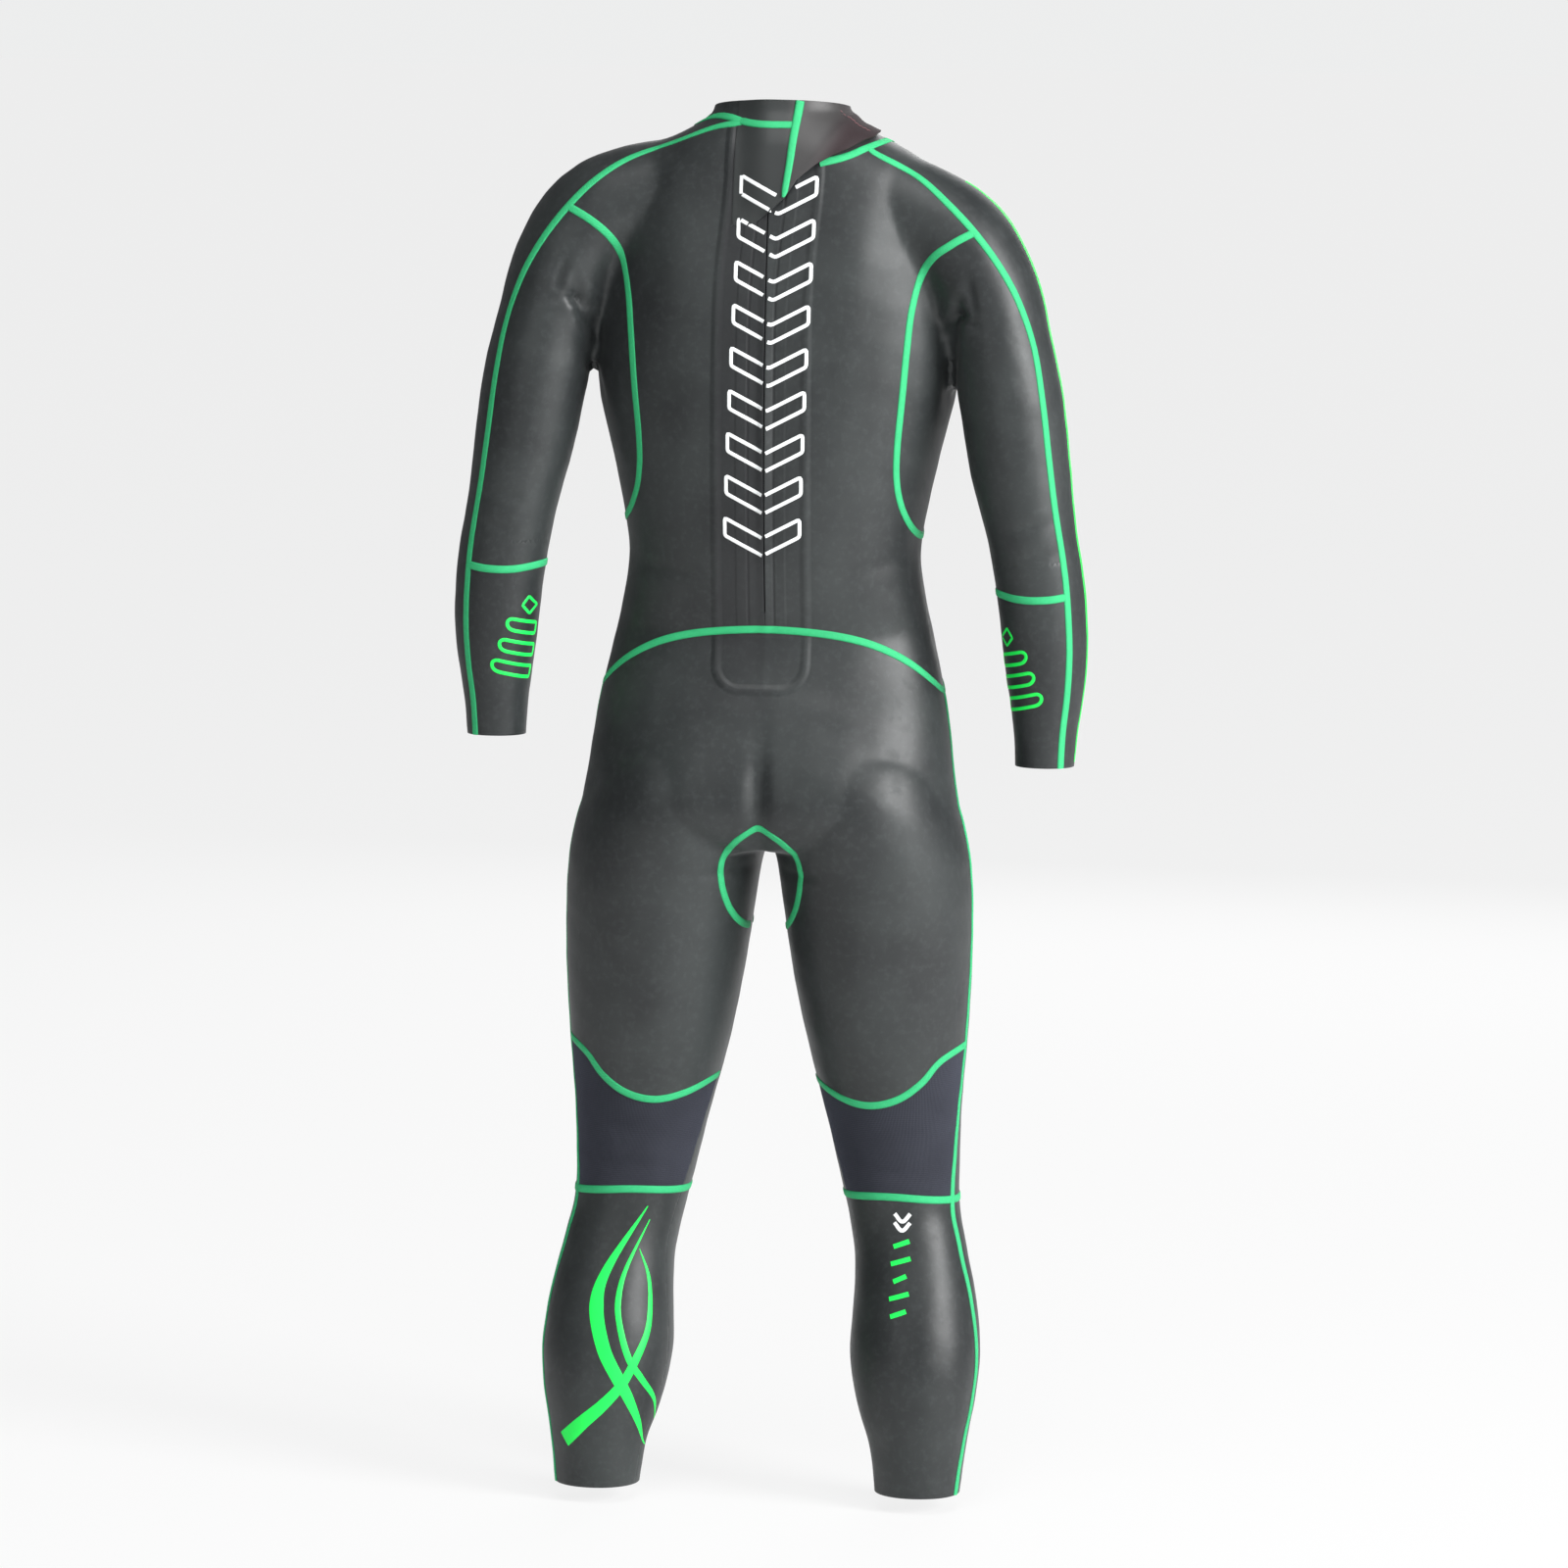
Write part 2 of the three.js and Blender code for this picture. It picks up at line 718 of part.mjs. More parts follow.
function addZipChain() {
  SIDES.forEach((side) => {
    const word = WORD[side];
    addPiece(`zip_coil_${word}`, alongZip(side, COIL, ZIP_TOP_Z, ZIP_BOTTOM_Z), NYLON);
    addPiece(`zip_tape_${word}`, alongZip(side, ZIP_TAPE, ZIP_TOP_Z + 3, ZIP_BOTTOM_Z - 6), LINING);
    const stop = alongZip(side, COIL, ZIP_TOP_Z + 2.4, ZIP_TOP_Z + GAP, 1);
    addPiece(`zip_top_stop_${word}`, stop, METAL);
  });
  const footTop = ZIP_BOTTOM_Z - GAP;
  const foot = arcBar(-COIL.outer, COIL.outer, COIL.shallow, COIL.deep, footTop, ZIP_BOTTOM_Z - 5, 1);
  addPiece("zip_bottom_stop", foot, METAL);
  const outline = [
    [-BACKING.half, BACKING.topZ],
    [BACKING.half, BACKING.topZ],
    [BACKING.half, BACKING.bottomZ + 30],
    [BACKING.half / 2, BACKING.bottomZ],
    [-BACKING.half / 2, BACKING.bottomZ],
    [-BACKING.half, BACKING.bottomZ + 30],
  ];
  const backing = skin(BACKING.lift, BACKING.thick).intersect(prism(outline, -REACH, -10));
  addPiece("zip_backing_flap", backing, JERSEY);
}

// The slider's own frame: X across, Y the depth below the surface, Z up along the chain.
const SLIDER = { half: 6.5, long: 9, plate: 1, front: 2.9, back: 7.4, wall: 1.2 };
const EYE = { half: 0.9, long: 3, height: 2.8, pinHeight: 1.5, bore: 0.9 };
const TAB = { half: 4.5, from: 4, to: 32, low: 0.9, high: 2.1, prong: 1, pin: 0.55, hole: 1.5, holeAt: 27.5 };

function rod(radius, length, y, z) {
  const geometry = new THREE.CylinderGeometry(radius, radius, length, 12);
  geometry.rotateZ(Math.PI / 2);
  geometry.translate(0, y, z);
  return toSolid(geometry);
}

function sliderSolid() {
  const { half, long, plate, front, back, wall: side } = SLIDER;
  const slot = ZIP_TAPE.shallow - 0.5;
  const cheek = (sign) => {
    const [x0, x1] = [sign * (half - side), sign * half].sort((a, b) => a - b);
    return box(x0, x1, front, slot, -long, long);
  };
  const body = joined([
    box(-half, half, front, front + plate, -long, long),
    box(-half, half, back, back + plate, -long, long),
    cheek(-1),
    cheek(1),
    box(-0.55, 0.55, front + plate / 2, back + plate / 2, 3, long - 1),
    box(-EYE.half, EYE.half, -EYE.height, front + plate / 2, -EYE.long, EYE.long),
  ]);
  return body.subtract(rod(EYE.bore, 6, -EYE.pinHeight, 0));
}

function tabSolid() {
  const prong = (sign) => {
    const [x0, x1] = [sign * (EYE.half + GAP), sign * (TAB.half - 1)].sort((a, b) => a - b);
    return box(x0, x1, -TAB.high, -TAB.low, -TAB.prong, TAB.from + 1);
  };
  const hole = new THREE.CylinderGeometry(TAB.hole, TAB.hole, 8, 16);
  hole.translate(0, 0, TAB.holeAt);
  return joined([
    box(-TAB.half, TAB.half, -TAB.high, -TAB.low, TAB.from, TAB.to),
    prong(-1),
    prong(1),
    rod(TAB.pin, 2 * (TAB.half - 1.5), -EYE.pinHeight, 0),
  ]).subtract(toSolid(hole));
}

function addSlider() {
  const angle = Math.asin((SLIDER_REST_Z - ARC.z) / ARC.radius);
  const carriage = new THREE.Group();
  carriage.position.set(0, ARC.y - ARC.radius * Math.cos(angle), SLIDER_REST_Z);
  carriage.rotation.x = -angle;
  [
    ["zip_slider", sliderSolid()],
    ["zip_pull_tab", tabSolid()],
  ].forEach(([name, solid]) => {
    const mesh = new THREE.Mesh(toGeometry(solid), new THREE.MeshStandardMaterial(METAL));
    mesh.name = name;
    carriage.add(mesh);
  });
  group.add(carriage);
}

addSleevePanels();
addTorsoPanels();
addCollar();
addLegPanels();
addNeckTapes();
addSleeveTapes();
addLegTapes();
addCollarFlap();
addZipChain();
addSlider();

export default group;
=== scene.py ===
"""A full-length neoprene swimming wetsuit, filled out as when worn, its back zip closed."""

from __future__ import annotations

import logging
import math
from dataclasses import dataclass, field
from enum import Enum
from typing import Callable, Iterable, Optional, Sequence

import bmesh
import bpy
import numpy as np
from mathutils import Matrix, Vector
from mathutils.bvhtree import BVHTree


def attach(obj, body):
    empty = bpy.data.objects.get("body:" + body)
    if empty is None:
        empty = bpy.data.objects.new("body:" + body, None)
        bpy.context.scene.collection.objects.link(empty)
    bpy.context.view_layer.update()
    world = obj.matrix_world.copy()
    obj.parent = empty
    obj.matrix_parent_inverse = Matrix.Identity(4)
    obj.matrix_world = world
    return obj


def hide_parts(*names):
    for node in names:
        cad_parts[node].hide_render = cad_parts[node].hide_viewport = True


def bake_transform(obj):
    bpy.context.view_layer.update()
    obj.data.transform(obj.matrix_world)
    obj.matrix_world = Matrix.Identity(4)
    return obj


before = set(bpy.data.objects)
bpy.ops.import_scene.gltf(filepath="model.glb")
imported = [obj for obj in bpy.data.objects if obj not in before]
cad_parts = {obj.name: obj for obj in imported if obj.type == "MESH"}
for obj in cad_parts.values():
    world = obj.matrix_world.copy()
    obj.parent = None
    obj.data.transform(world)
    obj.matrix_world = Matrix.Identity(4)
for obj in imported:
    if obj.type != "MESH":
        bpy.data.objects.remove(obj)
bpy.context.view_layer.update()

LOG = logging.getLogger("wetsuit")
MM = 0.001
WALL = 4 * MM
Array = np.ndarray
Socket = bpy.types.NodeSocket
Piece = bpy.types.Object
Material = bpy.types.Material
CUT_EDGE = math.radians(50)


class Side(Enum):
    """A side of the wearer."""

    LEFT = -1
    RIGHT = 1

    @property
    def word(self) -> str:
        """The side as it stands in a node's name."""
        return self.name.lower()


# ---------------------------------------------------------------- shader graph
class Num:
    """A number socket on which Python arithmetic adds Math nodes."""

    def __init__(self, graph: "Graph", socket: Socket) -> None:
        """Wraps a socket.

        Args:
            graph: The graph that the socket is in.
            socket: The output socket.
        """
        self.graph = graph
        self.socket = socket

    def _math(self, operation: str, *values: "Num | float") -> "Num":
        """Adds a Math node on the values."""
        made = self.graph.node("ShaderNodeMath", {"operation": operation}, *values)
        return Num(self.graph, made.outputs[0])

    def __add__(self, other: "Num | float") -> "Num":
        """Sum."""
        return self._math("ADD", self, other)

    __radd__ = __add__

    def __mul__(self, other: "Num | float") -> "Num":
        """Product."""
        return self._math("MULTIPLY", self, other)

    __rmul__ = __mul__

    def __sub__(self, other: "Num | float") -> "Num":
        """Difference."""
        return self._math("SUBTRACT", self, other)

    def __rsub__(self, other: float) -> "Num":
        """Difference from a plain number."""
        return self._math("SUBTRACT", other, self)

    def __abs__(self) -> "Num":
        """Magnitude."""
        return self._math("ABSOLUTE", self)

    def sine(self) -> "Num":
        """Sine, of radians."""
        return self._math("SINE", self)

    def most(self, other: "Num | float") -> "Num":
        """The larger of two."""
        return self._math("MAXIMUM", self, other)

    def root(self) -> "Num":
        """Square root."""
        return self._math("SQRT", self)

    def remap(self, low: float, high: float) -> "Num":
        """A smooth step from 0 to 1.

        Args:
            low: Where the step starts.
            high: Where it ends.

        Returns:
            The stepped number.
        """
        settings = {"interpolation_type": "SMOOTHSTEP"}
        made = self.graph.node("ShaderNodeMapRange", settings, self, low, high, 0.0, 1.0)
        return Num(self.graph, made.outputs[0])


class Graph:
    """The node tree of one material, with a Principled shader at its end."""

    def __init__(self, name: str) -> None:
        """Starts a material.

        Args:
            name: The material's name.
        """
        self.material = bpy.data.materials.new(name)
        self.material.use_nodes = True
        self.tree = self.material.node_tree
        self.shader = self.tree.nodes["Principled BSDF"]

    def node(self, kind: str, settings: dict, *values: object, **named: object) -> bpy.types.Node:
        """Adds a node.

        Args:
            kind: The node's type.
            settings: Its properties, which are set first.
            values: Values or links of its inputs, in order; None leaves one alone.
            named: Values or links of inputs by name, with underscores for spaces.

        Returns:
            The node.
        """
        made = self.tree.nodes.new(kind)
        for key, value in settings.items():
            setattr(made, key, value)
        for index, value in enumerate(values):
            self._feed(made.inputs[index], value)
        for key, value in named.items():
            self._feed(made.inputs[key.replace("_", " ")], value)
        return made

    def _feed(self, socket: Socket, value: object) -> None:
        """Links or sets one input."""
        if value is None:
            return
        if isinstance(value, Num):
            value = value.socket
        if isinstance(value, Socket):
            self.tree.links.new(value, socket)
        else:
            socket.default_value = value

    def place(self) -> Socket:
        """Object coordinates, in metres."""
        return self.node("ShaderNodeTexCoord", {}).outputs["Object"]

    def surface(self, name: str = "cloth") -> Socket:
        """Coordinates of the piece's own map, in metres along the surface."""
        return self.node("ShaderNodeUVMap", {"uv_map": name}).outputs[0]

    def axes(self, socket: Socket) -> tuple[Num, Num, Num]:
        """A vector's three numbers."""
        parts = self.node("ShaderNodeSeparateXYZ", {}, socket)
        return tuple(Num(self, out) for out in parts.outputs)

    def noise(self, vector: Socket, scale: float, detail: float = 2.0, rough: float = 0.5) -> Num:
        """Cloudy noise from 0 to 1.

        Args:
            vector: The coordinates.
            scale: Features per metre.
            detail: Octaves.
            rough: How strong the finer octaves are.

        Returns:
            The noise.
        """
        settings = {"noise_dimensions": "3D"}
        looks = {"Vector": vector, "Scale": scale, "Detail": detail, "Roughness": rough}
        made = self.node("ShaderNodeTexNoise", settings, **looks)
        return Num(self, made.outputs[0])

    def mix(self, share: "Num | float", first: object, second: object) -> Socket:
        """Mixes two colours.

        Args:
            share: How much of the second.
            first: A colour or a socket.
            second: A colour or a socket.

        Returns:
            The colour socket.
        """
        made = self.node("ShaderNodeMix", {"data_type": "RGBA"})
        self._feed(made.inputs[0], share)
        self._feed(made.inputs[6], first)
        self._feed(made.inputs[7], second)
        return made.outputs[2]

    def bump(self, height: Num, distance: float, strength: float = 1.0, normal: object = None) -> Socket:
        """A bump that gives a normal.

        Args:
            height: The height, from 0 to 1.
            distance: The height of 1, in metres.
            strength: The share of the effect.
            normal: A bump that this one is laid on.

        Returns:
            The normal socket.
        """
        made = self.node("ShaderNodeBump", {}, Strength=strength, Distance=distance, Height=height)
        if normal is not None:
            self._feed(made.inputs["Normal"], normal)
        return made.outputs[0]

    def finish(self, **sockets: object) -> Material:
        """Feeds the shader.

        Args:
            sockets: Shader inputs by name, with underscores for spaces.

        Returns:
            The material.
        """
        for key, value in sockets.items():
            self._feed(self.shader.inputs[key.replace("_", " ")], value)
        return self.material


def rgb(red: float, green: float, blue: float) -> tuple[float, float, float, float]:
    """A colour from 0 to 255 display numbers, in linear light."""

    def linear(value: float) -> float:
        """One channel in linear light."""
        share = value / 255
        return share / 12.92 if share <= 0.04045 else ((share + 0.055) / 1.055) ** 2.4

    return (linear(red), linear(green), linear(blue), 1.0)


# ---------------------------------------------------------------- finishes
@dataclass(frozen=True)
class Smoothskin:
    """Coated neoprene: near black, satin, faintly mottled, with the zip's outline pressed through and, on the
    zipped panels, painted shade beside the zip.
    """

    name: str = "smoothskin"
    tone: tuple = rgb(40, 44, 44)
    deep: tuple = rgb(26, 29, 30)
    roughness: float = 0.45
    placket: bool = False

    def make(self) -> Material:
        """Builds the material."""
        graph = Graph(self.name)
        place = graph.place()
        cloud = graph.noise(place, 9, 3, 0.55)
        mottle = graph.noise(place, 150, 3, 0.6)
        grain = graph.noise(place, 1500, 2, 0.5)
        scuff = graph.noise(place, 40, 4, 0.65).remap(0.52, 0.72)
        tint = graph.mix(cloud.remap(0.3, 0.7), self.deep, self.tone)
        colour = graph.mix(mottle.remap(0.45, 0.75) * 0.16, tint, rgb(70, 74, 75))
        height = grain * 0.35 + mottle * 0.65
        normal = graph.bump(height, 0.00022, 0.5)
        if self.placket:
            height, shade = self._placket(graph, place)
            normal = graph.bump(height, 0.0022, 0.9, normal)
            # Painted shade: darkens the left of the zip, the gutters beside the zip tapes, the left of the
            # placket's rim, and the whole placket a little.
            colour = graph.mix(shade, colour, rgb(20, 20, 23))
        return graph.finish(
            Base_Color=colour,
            Roughness=(cloud - 0.5) * 0.12 + scuff * 0.06 + grain * 0.05 + self.roughness,
            Normal=normal,
            Specular_IOR_Level=0.38,
            Sheen_Weight=0.03,
            Sheen_Roughness=0.5,
        )

    def _placket(self, graph: Graph, place: Socket) -> tuple[Num, Num]:
        """The relief of the backing flap, the zip tapes and their stitching under the skin, and painted
        shade: darker left of the zip, in the gutters beside the tapes and along the left of the rim.
        """
        x, y, z = graph.axes(place)
        flare = z.remap(-0.25, -0.06)
        middle = x + 4 * MM - flare * flare * 9 * MM
        across = abs(middle)

        def slab(half: float, bottom: float, radius: float) -> Num:
            """How far a place is outside a tongue with a rounded bottom."""
            dx = (across - (half - radius)).most(0.0)
            dz = ((bottom + radius) - z).most(0.0)
            return (dx * dx + dz * dz).root() - radius

        rim = slab(46 * MM, -585 * MM, 26 * MM)
        inner = slab(25 * MM, -532 * MM, 5 * MM)
        ridge = rim.remap(-7 * MM, -1 * MM) * rim.remap(6 * MM, 0.0)
        step = inner.remap(1.5 * MM, -1.5 * MM)
        gutter = (across - 13 * MM).remap(2.5 * MM, 0.0) * (across - 13 * MM).remap(-2.5 * MM, 0.0)
        above = z.remap(-525 * MM, -515 * MM)
        behind = y.remap(-0.02, -0.04)
        lip = x.remap(9 * MM, 0.0) * x.remap(-0.3 * MM, 0.3 * MM)
        height = (ridge * 0.55 + step * 0.22 - gutter * above * 0.22 + lip * above * 0.3) * behind
        bay = rim.remap(0.0, -5 * MM) * behind * z.remap(-0.6, -0.5)
        left = x.remap(0.6 * MM, -0.6 * MM)
        edge = rim.remap(5 * MM, -1 * MM) * rim.remap(-8 * MM, -2 * MM)
        # Painted shade: the placket's left half much darker and its right half a little darker, darker
        # gutters beside the tapes, and a darker band inside the rim on the left.
        shade = bay * (left * 0.42 + 0.14) + gutter * above * behind * 0.3 + edge * left * behind * 0.2
        return height, shade


@dataclass(frozen=True)
class Jersey:
    """Knitted jersey bonded to neoprene: fine ribs of loops, dull and slightly blue."""

    name: str = "stretch_jersey"
    tone: tuple = rgb(50, 52, 60)
    dark: tuple = rgb(24, 25, 30)
    pitch: float = 1.6 * MM

    def make(self) -> Material:
        """Builds the material."""
        graph = Graph(self.name)
        u, v, _ = graph.axes(graph.surface())
        turn = 2 * math.pi / self.pitch
        rib = abs((u * (turn / 2)).sine())
        slant = rib * 0.9 + v * (turn * 0.8)
        loop = slant.sine() * 0.5 + 0.5
        yarn = rib * 0.6 + loop * rib * 0.4
        fuzz = graph.noise(graph.place(), 900, 3, 0.6)
        cloud = graph.noise(graph.place(), 22, 3, 0.5)
        colour = graph.mix(yarn * 0.75 + fuzz * 0.25, self.dark, self.tone)
        colour = graph.mix(cloud.remap(0.35, 0.7) * 0.35, colour, self.dark)
        return graph.finish(
            Base_Color=colour,
            Roughness=0.95 - fuzz * 0.15,
            Normal=graph.bump(yarn * 0.8 + fuzz * 0.2, 0.0003, 0.7),
            Specular_IOR_Level=0.2,
            Sheen_Weight=0.25,
            Sheen_Roughness=0.6,
            Sheen_Tint=rgb(120, 125, 150),
        )


@dataclass(frozen=True)
class Lining:
    """The suit's inside and its cut edges: charcoal jersey over foam."""

    name: str = "lining"
    tone: tuple = rgb(52, 54, 58)

    def make(self) -> Material:
        """Builds the material."""
        graph = Graph(self.name)
        place = graph.place()
        x, y, z = graph.axes(place)
        turn = 2 * math.pi / (2.0 * MM)
        knit = ((x + y) * turn).sine() * (z * (turn * 0.7)).sine() * 0.5 + 0.5
        cell = graph.noise(place, 700, 3, 0.6)
        colour = graph.mix(knit * 0.6 + cell * 0.4, rgb(22, 23, 26), self.tone)
        return graph.finish(
            Base_Color=colour,
            Roughness=0.93 - cell * 0.1,
            Normal=graph.bump(knit * 0.5 + cell * 0.5, 0.00025, 0.6),
            Specular_IOR_Level=0.2,
        )


@dataclass(frozen=True)
class SeamTape:
    """Flat-locked green thread over a seam: close ridges across it and a rail along each edge."""

    name: str = "seam_tape"
    tone: tuple = rgb(60, 196, 128)
    shade: tuple = rgb(24, 118, 72)
    pitch: float = 1.15 * MM

    def make(self) -> Material:
        """Builds the material."""
        graph = Graph(self.name)
        u, v, _ = graph.axes(graph.surface())
        turn = 2 * math.pi / self.pitch
        across = abs(v)
        lean = v * 1100.0
        thread = (u * turn + lean).sine() * 0.5 + 0.5
        rail = across.remap(1.0 * MM, 3.2 * MM)
        cross = (u * (turn * 0.5) - v * 2600.0).sine() * 0.5 + 0.5
        weave = thread * (1.0 - rail * 0.35) * 0.7 + cross * 0.3
        fray = graph.noise(graph.place(), 700, 3, 0.6)
        edge = across.remap(3.3 * MM, 4.2 * MM)
        dirt = graph.noise(graph.place(), 60, 3, 0.6).remap(0.5, 0.75)
        colour = graph.mix(weave * 0.6 + fray * 0.5, self.shade, self.tone)
        colour = graph.mix(edge * 0.55, colour, rgb(16, 74, 46))
        colour = graph.mix(dirt * 0.25, colour, rgb(40, 150, 96))
        return graph.finish(
            Base_Color=colour,
            Roughness=0.72 - weave * 0.1,
            Normal=graph.bump(weave * 0.75 + fray * 0.25, 0.00035, 0.75),
            Specular_IOR_Level=0.25,
        )


@dataclass(frozen=True)
class PrintInk:
    """A rubbery screen print: flat colour, faintly uneven, a little worn at its edges."""

    name: str
    tone: tuple
    worn: tuple
    roughness: float = 0.45

    def make(self) -> Material:
        """Builds the material."""
        graph = Graph(self.name)
        place = graph.place()
        speck = graph.noise(place, 420, 3, 0.65)
        drift = graph.noise(place, 30, 2, 0.5)
        colour = graph.mix(speck.remap(0.58, 0.8) * 0.3 + drift * 0.12, self.tone, self.worn)
        return graph.finish(
            Base_Color=colour,
            Roughness=speck * 0.12 + self.roughness,
            Normal=graph.bump(speck, 0.00008, 0.4),
            Specular_IOR_Level=0.4,
        )


@dataclass(frozen=True)
class Nylon:
    """Moulded nylon of the zip's coil and the hooks: dark, with fine moulding lines."""

    name: str
    tone: tuple = rgb(30, 31, 33)
    roughness: float = 0.42
    bristle: bool = False

    def make(self) -> Material:
        """Builds the material."""
        graph = Graph(self.name)
        place = graph.place()
        x, _, z = graph.axes(place)
        grain = graph.noise(place, 2600, 2, 0.5)
        height = grain
        if self.bristle:
            turn = 2 * math.pi / (1.6 * MM)
            height = (x * turn).sine() * (z * turn).sine() * 0.5 + 0.5
        colour = graph.mix(height.remap(0.3, 0.8), rgb(14, 14, 15), self.tone)
        return graph.finish(
            Base_Color=colour,
            Roughness=grain * 0.15 + self.roughness,
            Normal=graph.bump(height, 0.0006 if self.bristle else 0.00005, 0.6),
            Specular_IOR_Level=0.45,
        )


@dataclass(frozen=True)
class Webbing:
    """Woven zip tape: a close herringbone."""

    name: str = "zip_webbing"
    tone: tuple = rgb(38, 39, 42)

    def make(self) -> Material:
        """Builds the material."""
        graph = Graph(self.name)
        place = graph.place()
        x, _, z = graph.axes(place)
        turn = 2 * math.pi / (0.9 * MM)
        slope = abs((x * (turn / 12)).sine())
        twill = (z * turn + slope * 6.0).sine() * 0.5 + 0.5
        fuzz = graph.noise(place, 1800, 2, 0.6)
        return graph.finish(
            Base_Color=graph.mix(twill * 0.7 + fuzz * 0.3, rgb(14, 14, 16), self.tone),
            Roughness=0.9 - fuzz * 0.1,
            Normal=graph.bump(twill, 0.0002, 0.7),
            Specular_IOR_Level=0.2,
        )


@dataclass(frozen=True)
class LoopPile:
    """Brushed loop pile of the collar's fastening."""

    name: str = "loop_patch"
    tone: tuple = rgb(46, 38, 38)

    def make(self) -> Material:
        """Builds the material."""
        graph = Graph(self.name)
        place = graph.place()
        pile = graph.noise(place, 1100, 5, 0.75)
        nap = graph.noise(place, 160, 2, 0.5)
        return graph.finish(
            Base_Color=graph.mix(pile, rgb(18, 15, 15), self.tone),
            Roughness=0.98 - nap * 0.08,
            Normal=graph.bump(pile * 0.7 + nap * 0.3, 0.0009, 0.8),
            Sheen_Weight=0.4,
            Sheen_Roughness=0.4,
            Specular_IOR_Level=0.15,
        )


@dataclass(frozen=True)
class PlatedMetal:
    """Plated zinc of the slider, tab and stops: satin, with handling marks and dull hollows."""

    name: str = "zip_metal"
    tone: tuple = rgb(168, 170, 172)

    def make(self) -> Material:
        """Builds the material."""
        graph = Graph(self.name)
        place = graph.place()
        cast = graph.noise(place, 900, 3, 0.6)
        tarnish = graph.noise(place, 260, 3, 0.6).remap(0.45, 0.7)
        drawn = graph.node("ShaderNodeMapping", {}, place, None, None, (900, 900, 9000)).outputs[0]
        scratch = graph.noise(drawn, 1, 2, 0.5)
        return graph.finish(
            Base_Color=graph.mix(tarnish * 0.5, self.tone, rgb(96, 96, 98)),
            Metallic=1.0,
            Roughness=cast * 0.12 + tarnish * 0.18 + scratch.remap(0.6, 0.7) * 0.1 + 0.24,
            Normal=graph.bump(cast, 0.00004, 0.5),
        )


# ---------------------------------------------------------------- mesh helpers
def spline(rows: Sequence[Sequence[float]], per: int) -> Array:
    """Rows of numbers made smooth.

    Args:
        rows: The rows that the curve passes through.
        per: Steps between two rows.

    Returns:
        The finer rows.
    """
    given = np.asarray(rows, float)
    ends = np.vstack([2 * given[0] - given[1], given, 2 * given[-1] - given[-2]])
    steps = np.arange(per)[:, None] / per
    spans = []
    for a, b, c, d in zip(ends, ends[1:], ends[2:], ends[3:]):
        curve = 2 * b + (c - a) * steps + (2 * a - 5 * b + 4 * c - d) * steps**2
        spans.append(0.5 * (curve + (3 * b - a - 3 * c + d) * steps**3))
    return np.vstack([*spans, given[-1:]])


def smoothstep(value: Array, low: float, high: float) -> Array:
    """0 before low, 1 after high, and smooth between."""
    share = np.clip((value - low) / (high - low), 0, 1)
    return share * share * (3 - 2 * share)


def inside(outline: Array, points: Array) -> Array:
    """Which of the points lie within a closed outline.

    Args:
        outline: Its corners, in two numbers each.
        points: The points, in two numbers each.

    Returns:
        True for each point within.
    """
    within = np.zeros(len(points), bool)
    px, pz = points[:, 0], points[:, 1]
    for (x0, z0), (x1, z1) in zip(outline, np.roll(outline, -1, axis=0)):
        if z0 == z1:
            continue
        spans = (z0 > pz) != (z1 > pz)
        within ^= spans & (px < x0 + (pz - z0) / (z1 - z0) * (x1 - x0))
    return within


def offset_from(line: Array, points: Array) -> tuple[Array, Array]:
    """How far points are from an open line of points, to its left positive.

    Args:
        line: The line, in two numbers a point.
        points: The points.

    Returns:
        The signed distance, and whether the nearest place is between the line's ends.
    """
    best = np.full(len(points), np.inf)
    sign = np.ones(len(points))
    between = np.zeros(len(points), bool)
    last = len(line) - 2
    for i in range(len(line) - 1):
        start, along = line[i], line[i + 1] - line[i]
        length = float(np.hypot(*along))
        if length < 1e-9:
            continue
        rel = points - start
        share = (rel @ along) / length**2
        held = np.clip(share, 0, 1)
        gap = np.hypot(rel[:, 0] - held * along[0], rel[:, 1] - held * along[1])
        closer = gap < best
        best = np.where(closer, gap, best)
        side = np.sign(along[0] * rel[:, 1] - along[1] * rel[:, 0])
        sign = np.where(closer, side, sign)
        low = share >= 0 if i == 0 else np.ones(len(points), bool)
        high = share <= 1 if i == last else np.ones(len(points), bool)
        between = np.where(closer, low & high, between)
    return best * np.where(sign == 0, 1, sign), between


def mesh_piece(
    name: str, points: Array, faces: Iterable[Sequence[int]], cloth: Optional[Array] = None
) -> Piece:
    """A mesh object at the origin.

    Args:
        name: The piece's name.
        points: Its points, in metres.
        faces: Its faces' point numbers.
        cloth: The map of each point, in metres along the surface.

    Returns:
        The object, smooth shaded.
    """
    mesh = bpy.data.meshes.new(name)
    mesh.from_pydata([tuple(map(float, p)) for p in points], [], [tuple(map(int, f)) for f in faces])
    mesh.validate()
    if cloth is not None:
        layer = mesh.uv_layers.new(name="cloth")
        index = np.empty(len(mesh.loops), np.int32)
        mesh.loops.foreach_get("vertex_index", index)
        layer.data.foreach_set("uv", np.asarray(cloth, np.float32)[index].ravel())
    mesh.shade_smooth()
    piece = bpy.data.objects.new(name, mesh)
    bpy.context.scene.collection.objects.link(piece)
    return piece


def only(*pieces: Piece) -> None:
    """Selects these pieces and nothing else; the first is active."""
    bpy.ops.object.select_all(action="DESELECT")
    for piece in pieces:
        piece.select_set(True)
    bpy.context.view_layer.objects.active = pieces[0]


def apply_modifier(piece: Piece, kind: str, **settings: object) -> None:
    """Adds a modifier to a piece and applies it.

    Args:
        piece: The piece.
        kind: The modifier's type.
        settings: Its properties.
    """
    only(piece)
    modifier = piece.modifiers.new(kind.lower(), kind)
    for key, value in settings.items():
        setattr(modifier, key, value)
    bpy.ops.object.modifier_apply(modifier=modifier.name)


